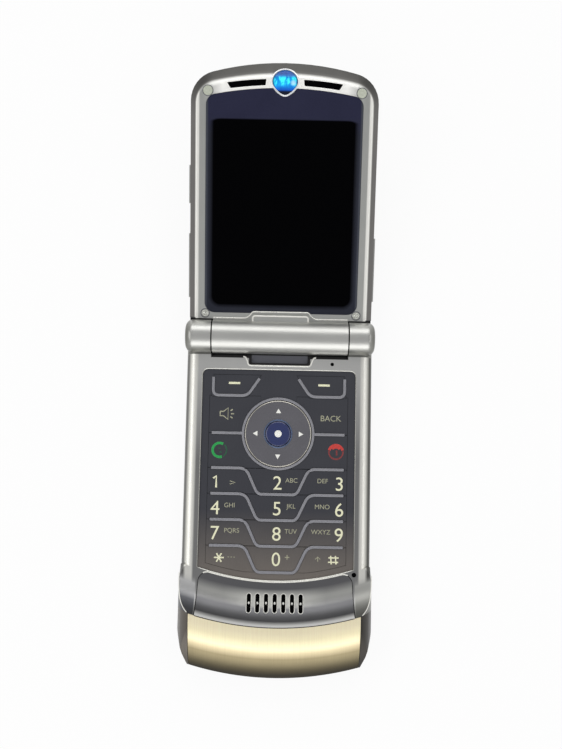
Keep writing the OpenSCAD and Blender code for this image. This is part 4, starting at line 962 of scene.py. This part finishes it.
# The microphone panel's far edge with its corners, and its right side, on the slope
def panelOutline(grow, lift):
    steps = 10
    tilt = math.atan(panel["lean"])
    toCorner = math.atan2(panel["cornerY"] - sweepCentre, panel["cornerX"])
    turn = [math.pi + toCorner + (tilt - math.pi - toCorner) * i / steps for i in range(steps + 1)]
    corner = [(panel["cornerX"] + (panel["corner"] + grow) * math.cos(a),
               panel["cornerY"] + (panel["corner"] + grow) * math.sin(a)) for a in turn]
    reach = panel["cornerX"] - panel["inset"]
    across = [onSweep(reach * (i / steps - 1), base["panelSweep"] - grow, lift)
              for i in range(2 * steps + 1)]
    bend = [onSlope(x, y, lift) for x, y in corner]
    down = (panel["sideEnd"] - panel["cornerY"]) / steps
    places = [panel["cornerY"] + down * i for i in range(steps + 1)]
    side = [onSlope(panel["side"] + grow - panel["lean"] * (panel["crest"] + y), y, lift) for y in places]
    half = bend[:len(bend) // 2]
    return mirrored(half)[::-1] + across + half, bend[len(bend) // 3:] + side


# The line down each shoulder of the chin, where its lean starts
def creaseLine():
    lean = (base["chinLean"] ** 2 + (base["crestZ"] - base["chinSideZ"]) ** 2) / (2 * base["chinLean"])
    line = []
    for i in range(edges["creaseSteps"] + 1):
        climb = (base["crestZ"] - base["top"] - edges["creaseEnd"]) * i / edges["creaseSteps"]
        z = base["top"] + edges["creaseStart"] + climb
        x = base["chinHalf"] - lean + math.sqrt(lean ** 2 - (z - base["chinSideZ"]) ** 2)
        run = math.sqrt(base["slopeRadius"] ** 2 - (base["slopeRadius"] - z + base["top"]) ** 2)
        radius = base["slopeSweep"] + run
        line.append(Vector((x, sweepY(x, radius), z)))
    return line


def makeBaseEdges():
    keypad = keypadOutline(base["top"] + edges["keypadLift"], edges["keypadOut"])
    right = [(x, y, base["top"] + edges["recessLift"]) for x, y in edges["recessPath"]]
    recess = roundBends(mirrored(right) + right[::-1], edges["recessBend"])
    top = panelOutline(edges["panelOut"], 0.0)[0]
    side = panelOutline(edges["seamOut"], edges["seamLift"])[1]
    crease = creaseLine()
    step = 2 * edges["crestHalf"] / edges["crestSteps"]
    crest = [onSweep(i * step - edges["crestHalf"], base["crestSweep"] + edges["crestOut"],
                     edges["crestLift"]) for i in range(edges["crestSteps"] + 1)]
    for name, finish, radius, paths in (
            ("keypadEdge", "edge", "keypad", [(keypad, True)]),
            ("recessEdge", "edge", "recess", [(recess, False)]),
            ("panelEdge", "edge", "panel", [(top, False)]),
            ("panelSeamShades", "pit", "seam", bothSides(side)),
            ("shoulderEdges", "edge", "crease", bothSides(crease)),
            ("crestSeamShade", "pit", "seam", [(crest, False)])):
        addBars(name, "base", finish, paths, edges[radius])


makeBaseEdges()


# Microphone slots: black plugs as painted shade inside, a small white bead in each as a painted glint,
# and a near-white bar round each as a painted highlight
slots = {
    "count": 7, "pitch": 2.36, "d": 73.2, "long": 4.9, "wide": 1.2, "sunk": 0.62, "thick": 0.3,
    "insertOut": 0.02, "edgeOut": 0.06, "edgeLift": -0.03, "edge": 0.1,
    "glint": 0.3, "glintSunk": 0.3, "glintAt": 73.3, "glintShape": (1, 1.3, 0.5),
}


def slotOutline(x, grow, lift):
    steps = 10
    half = slots["long"] / 2 - slots["wide"] / 2
    radius = slots["wide"] / 2 + grow
    points = []
    for offset, start in ((half, 0), (-half, math.pi)):
        for i in range(steps + 1):
            a = start + math.pi * i / steps
            y = offset - slots["d"] + radius * math.sin(a)
            points.append(onSlope(x + radius * math.cos(a), y, lift))
    return points


# A flat shape from its outline, given a thickness downwards
def plateShape(outline, thickness):
    bm = bmesh.new()
    face = bm.faces.new([bm.verts.new(p) for p in outline])
    grown = bmesh.ops.extrude_face_region(bm, geom=[face])["geom"]
    moved = [v for v in grown if isinstance(v, bmesh.types.BMVert)]
    bmesh.ops.translate(bm, vec=(0, 0, -thickness), verts=moved)
    bmesh.ops.recalc_face_normals(bm, faces=bm.faces)
    return bm


def makeSlots():
    places = [(i - (slots["count"] - 1) / 2) * slots["pitch"] for i in range(slots["count"])]
    inserts = [plateShape(slotOutline(x, slots["insertOut"], -slots["sunk"]), slots["thick"])
               for x in places]
    add(merged(inserts), "slotShadePlugs", "base", "pit", 50)
    glints = []
    for x in places:
        bm = bmesh.new()
        bmesh.ops.create_uvsphere(bm, u_segments=16, v_segments=8, radius=slots["glint"])
        bmesh.ops.scale(bm, vec=slots["glintShape"], verts=bm.verts)
        shift(bm, onSlope(x, -slots["glintAt"], -slots["glintSunk"]))
        glints.append(bm)
    add(merged(glints), "slotPaintedGlints", "base", "white", 60)
    rims = [(slotOutline(x, slots["edgeOut"], slots["edgeLift"]), True) for x in places]
    addBars("slotEdges", "base", "edge", rims, slots["edge"])


makeSlots()


# Black plugs as painted shade in the two pin holes (x, distance, radius), and a dark sheet as painted
# shade on the floor of the tab's recess
pits = {"holes": ((14.8, 7.26, 0.49), (21.6, 65.3, 0.64)), "plugTop": -0.35, "plugStep": -0.3,
        "plugEdge": -0.2, "plugFoot": -0.9, "step": 0.8,
        "floorHalf": 7.9, "floorNear": -4.9, "floorFar": -7.05, "floorSunk": 1.55, "floorThick": 0.04}


def makePits():
    holes = []
    for x, d, radius in pits["holes"]:
        bm = lathe([(0, pits["plugTop"]), (radius * pits["step"], pits["plugStep"]),
                    (radius, pits["plugEdge"]), (radius, pits["plugFoot"]), (0, pits["plugFoot"])], 32)
        shift(bm, (x, -d, base["top"]))
        holes.append(bm)
    add(merged(holes), "pinholeShadePlugs", "base", "pit")
    half, near, far = pits["floorHalf"], pits["floorNear"], pits["floorFar"]
    z = base["top"] - pits["floorSunk"]
    floor = plateShape([(-half, near, z), (-half, far, z), (half, far, z), (half, near, z)],
                       pits["floorThick"])
    add(floor, "recessFloorShade", "base", "shade")


makePits()


# Black bars as painted shade in the seams between the barrel and the knuckles
knuckleSeam = {"x": 19.125, "radius": 4.66, "axisZ": 7.5, "thick": 0.17}


def makeKnuckleSeamShades():
    ring = ringPath(knuckleSeam["radius"], 0, 0, 0, 72)
    rings = [([Vector((k * knuckleSeam["x"], p.x, knuckleSeam["axisZ"] + p.y)) for p in ring], True)
             for k in (-1, 1)]
    addBars("knuckleSeamShades", "base", "pit", rings, knuckleSeam["thick"])


makeKnuckleSeamShades()
print("base detailed")


# Flip: painted highlights as bars along the tab and arch edges, the ear slots with black plugs as painted
# shade and their edges, and the end bevel.
# Corners of an ear edge are (x, distance from the slot's middle line)
flipTrim = {
    "tabHalf": 7.75, "tabStart": 4.6, "tabEnd": 6.1, "tabTop": 0.92, "tabBend": 0.9, "tab": 0.25,
    "archPath": [(18.8, 5.3), (9.7, 5.3), (8.5, 6.1), (7.9, 7.15)], "archLift": 0.1, "archBend": 1.1,
    "arch": 0.21, "slot": (4.9, 15.8), "slotHalf": 1.05, "slotArc": 105, "slotAt": 69.3,
    "slotSunk": 0.45, "slotThick": 0.1, "slotSteps": 6,
    "earCorners": [(4.93, 0.95), (15.84, 0.95), (14.77, -0.95), (5.15, -0.95)], "earSteps": 8,
    "earLift": -0.05, "earBend": 0.42, "ear": 0.13,
    "bevelAt": 70.7, "bevelBlend": 1.0, "bevelSlope": 0.615,
}
jewel = {
    "at": 69.25, "wide": 3.42, "long": 3.3, "narrow": 0.36, "narrowPower": 1.4, "rim": 0.25,
    "rimLift": -0.1,
    "dome": [(0, 0.17), (0.8, 0.165), (1.6, 0.14), (2.4, 0.1), (3.1, 0.05), (3.3, 0.02), (3.3, -0.5),
             (3.0, -0.8), (0, -0.8)],
}


# Height of the flip's inner side at a distance, its bend into the end bevel made round
def flipHeight(y):
    past, blend = y - flipTrim["bevelAt"], flipTrim["bevelBlend"]
    drop = max(0.0, past) if abs(past) > blend else (past + blend) ** 2 / (4 * blend)
    return flipTop - drop * flipTrim["bevelSlope"]


# How much the jewel narrows towards the hinge, in a direction from its middle
def jewelShare(sine):
    return 1 - jewel["narrow"] * max(0.0, -sine) ** jewel["narrowPower"]


def jewelOutline(grow, lift):
    steps = 64
    points = []
    for i in range(steps):
        a = math.tau * i / steps
        y = jewel["at"] + math.sin(a) * (jewel["long"] + grow)
        x = math.cos(a) * (jewel["wide"] + grow) * jewelShare(math.sin(a))
        points.append(Vector((x, y, flipHeight(y) + lift)))
    return points


# Distance of the ear slots' arc at a place across, moved outwards by a part of a slot's width
def earArc(x, out=0.0):
    arc = flipTrim["slotArc"]
    return flipTrim["slotAt"] - arc + math.sqrt((arc + out) ** 2 - x * x)


def earLoop():
    corners = flipTrim["earCorners"]
    loop = []
    for (x0, side), (x1, nextSide) in zip(corners, corners[1:] + corners[:1]):
        steps = flipTrim["earSteps"] if side == nextSide else 1
        for i in range(steps):
            x = x0 + (x1 - x0) * i / steps
            loop.append((x, earArc(x, side), flipTop + flipTrim["earLift"]))
    middle = (Vector(loop[0]) + Vector(loop[-1])) / 2
    return roundBends([middle] + loop + [middle], flipTrim["earBend"])[:-1]


def makeFlipTrim():
    t = flipTrim
    half, z = t["tabHalf"], t["tabTop"]
    tab = [(-half, t["tabStart"], z), (-half, t["tabEnd"], z), (half, t["tabEnd"], z),
           (half, t["tabStart"], z)]
    addBars("tabEdge", "flip", "flipEdge", [(roundBends(tab, t["tabBend"]), False)], t["tab"])
    right = [Vector((x, y, flipTop + t["archLift"])) for x, y in t["archPath"]]
    arch = roundBends(right + mirrored(right)[::-1], t["archBend"])
    addBars("archEdge", "flip", "flipEdge", [(arch, False)], t["arch"])
    near, far = t["slot"]
    across = [near + (far - near) * i / t["slotSteps"] for i in range(t["slotSteps"] + 1)]
    outline = [(x, earArc(x) - t["slotHalf"]) for x in across]
    outline += [(x, earArc(x) + t["slotHalf"]) for x in across[::-1]]
    pads = [plateShape([(k * x, y, flipTop - t["slotSunk"]) for x, y in outline], t["slotThick"])
            for k in (-1, 1)]
    add(merged(pads), "earShadePlugs", "flip", "pit")
    loop = earLoop()
    addBars("earEdges", "flip", "flipSilver", bothSides(loop, True), t["ear"])


makeFlipTrim()


# The jewel: a low dome, wide away from the hinge, in a bright rolled rim that follows the bevel
def makeJewel():
    dome = lathe(jewel["dome"], 64)
    for v in dome.verts:
        reach = math.hypot(v.co.x, v.co.y)
        if reach > 1e-6:
            v.co.x *= jewel["wide"] / jewel["long"] * jewelShare(v.co.y / reach)
        v.co.y += jewel["at"]
        v.co.z += flipHeight(v.co.y)
    add(dome, "jewelDome", "flip", "jewel", 40, ["jewel"])
    rim = jewel["rim"]
    ring = bars([(jewelOutline(rim, jewel["rimLift"]), True)], rim)
    add(ring, "jewelRim", "flip", "chrome", 50, ["jewel_rim"])


makeJewel()


# Bumpers and screws, one on each side. Profiles are (radius, height above the flip's face)
studs = {
    "bumperAt": (20.8, 66.75), "bumperRadius": 1.3, "bumperGap": 0.1,
    "bumper": [(0, 0.2), (0.45, 0.2), (0.55, 0.15), (0.65, 0.22), (0.975, 0.24), (1.209, 0.17),
               (1.3, 0.05), (1.3, -0.5), (0, -0.5)],
    "screwAt": (21.15, 6.55), "screwRadius": 1.1, "screwGap": 0.12,
    "screw": [(0, -0.04), (0.42, -0.04), (0.5, -0.14), (0.62, -0.14), (0.7, 0.0), (0.968, 0.02),
              (1.1, -0.06), (1.1, -0.5), (0, -0.5)],
    "ring": 0.09,
}


def studPair(kind):
    x, y = studs[kind + "At"]
    shapes = []
    for k in (-1, 1):
        bm = lathe(studs[kind], 48)
        shift(bm, (k * x, y, flipTop))
        shapes.append(bm)
    radius = studs[kind + "Radius"] + studs[kind + "Gap"]
    return merged(shapes), [(ringPath(radius, k * x, y, flipTop, 48), True) for k in (-1, 1)]


def makeStuds():
    caps, capRings = studPair("bumper")
    heads, headRings = studPair("screw")
    add(caps, "bumperCaps", "flip", "bumper", 60, ["rubber_bumpers"])
    add(heads, "screwCaps", "flip", "screw", 60)
    # Dark rings as painted shade in the gap round each screw head and bumper
    addBars("studRingShades", "flip", "shade", headRings + capRings, studs["ring"])


makeStuds()
print("flip detailed")


floorLook = {"size": 1.5, "sunk": 0.0001, "tone": 0.9, "glow": 0.9}


# The floor shows white to the camera and in reflections, and takes soft shadows
def makeFloor():
    bm = bmesh.new()
    bmesh.ops.create_grid(bm, x_segments=2, y_segments=2, size=floorLook["size"])
    floor = toObject(bm, "floor", Matrix.Translation((0, 0, -floorLook["sunk"])))
    material, tree, shader = newMaterial("paleFloor")
    setInputs(shader, {"Base Color": (*[floorLook["tone"]] * 3, 1), "Roughness": 0.8})
    paths = tree.nodes.new("ShaderNodeLightPath")
    glow = tree.nodes.new("ShaderNodeEmission")
    seen = calc(tree, "MAXIMUM", paths.outputs["Is Camera Ray"], paths.outputs["Is Glossy Ray"])
    seen = calc(tree, "MAXIMUM", seen, paths.outputs["Is Transmission Ray"])
    share = calc(tree, "MULTIPLY", seen, floorLook["glow"])
    blend = tree.nodes.new("ShaderNodeMixShader")
    tree.links.new(share, blend.inputs[0])
    tree.links.new(shader.outputs[0], blend.inputs[1])
    tree.links.new(glow.outputs[0], blend.inputs[2])
    tree.links.new(blend.outputs[0], tree.nodes["Material Output"].inputs["Surface"])
    floor.data.materials.append(material)


# Colours of the sky near the horizon and overhead, and the heights between which they fade
sky = {"low": [0.72, 0.72, 0.71, 1], "high": [0.42, 0.42, 0.43, 1], "fade": (0.2, 0.95)}


def makeWorld():
    world = bpy.data.worlds.new("studio")
    scene.world = world
    world.use_nodes = True
    tree = world.node_tree
    coords = tree.nodes.new("ShaderNodeTexCoord")
    up = axes(tree, coords.outputs["Generated"])[2]
    dome = mixColour(tree, ramp(tree, up, *sky["fade"]), sky["low"], sky["high"])
    paths = tree.nodes.new("ShaderNodeLightPath")
    seen = mixColour(tree, paths.outputs["Is Camera Ray"], dome, [1, 1, 1, 1])
    tree.links.new(seen, tree.nodes["Background"].inputs["Color"])


lamps = {  # name: azimuth, elevation, distance, width, height, power
    "frontPanel": (-90, 30, 0.62, 0.6, 0.46, 1.38),
    "backPanel": (90, 37, 0.7, 0.6, 0.34, 1.1),
    "leftPanel": (180, 45, 0.7, 0.6, 0.3, 0.8),
    "rightPanel": (0, 50, 0.7, 0.6, 0.2, 0.4),
}


def makeLamps():
    for name, (azimuth, elevation, distance, width, height, power) in lamps.items():
        lamp = bpy.data.lights.new(name, "AREA")
        lamp.shape = "RECTANGLE"
        lamp.size = width
        lamp.size_y = height
        lamp.energy = power
        a, e = math.radians(azimuth), math.radians(elevation)
        spot = Vector((math.cos(a) * math.cos(e), math.sin(a) * math.cos(e), math.sin(e))) * distance
        holder = bpy.data.objects.new(name, lamp)
        holder.location = spot
        holder.rotation_euler = (-spot).to_track_quat("-Z", "Y").to_euler()
        scene.collection.objects.link(holder)


view = {"sensor": 36, "lens": 43.26, "near": 0.01, "at": (0.0004, 0.01033, 0.25853),
        "turn": (5.746, -0.133, 1.161)}


def makeCamera():
    lens = bpy.data.cameras.new("camera")
    lens.sensor_fit = "VERTICAL"
    lens.sensor_height = view["sensor"]
    lens.lens = view["lens"]
    lens.clip_start = view["near"]
    camera = bpy.data.objects.new("camera", lens)
    camera.location = view["at"]
    camera.rotation_euler = [math.radians(a) for a in view["turn"]]
    scene.collection.objects.link(camera)
    scene.camera = camera


makeFloor()
makeWorld()
makeLamps()
makeCamera()
scene.view_settings.view_transform = "Standard"
print("stage set")
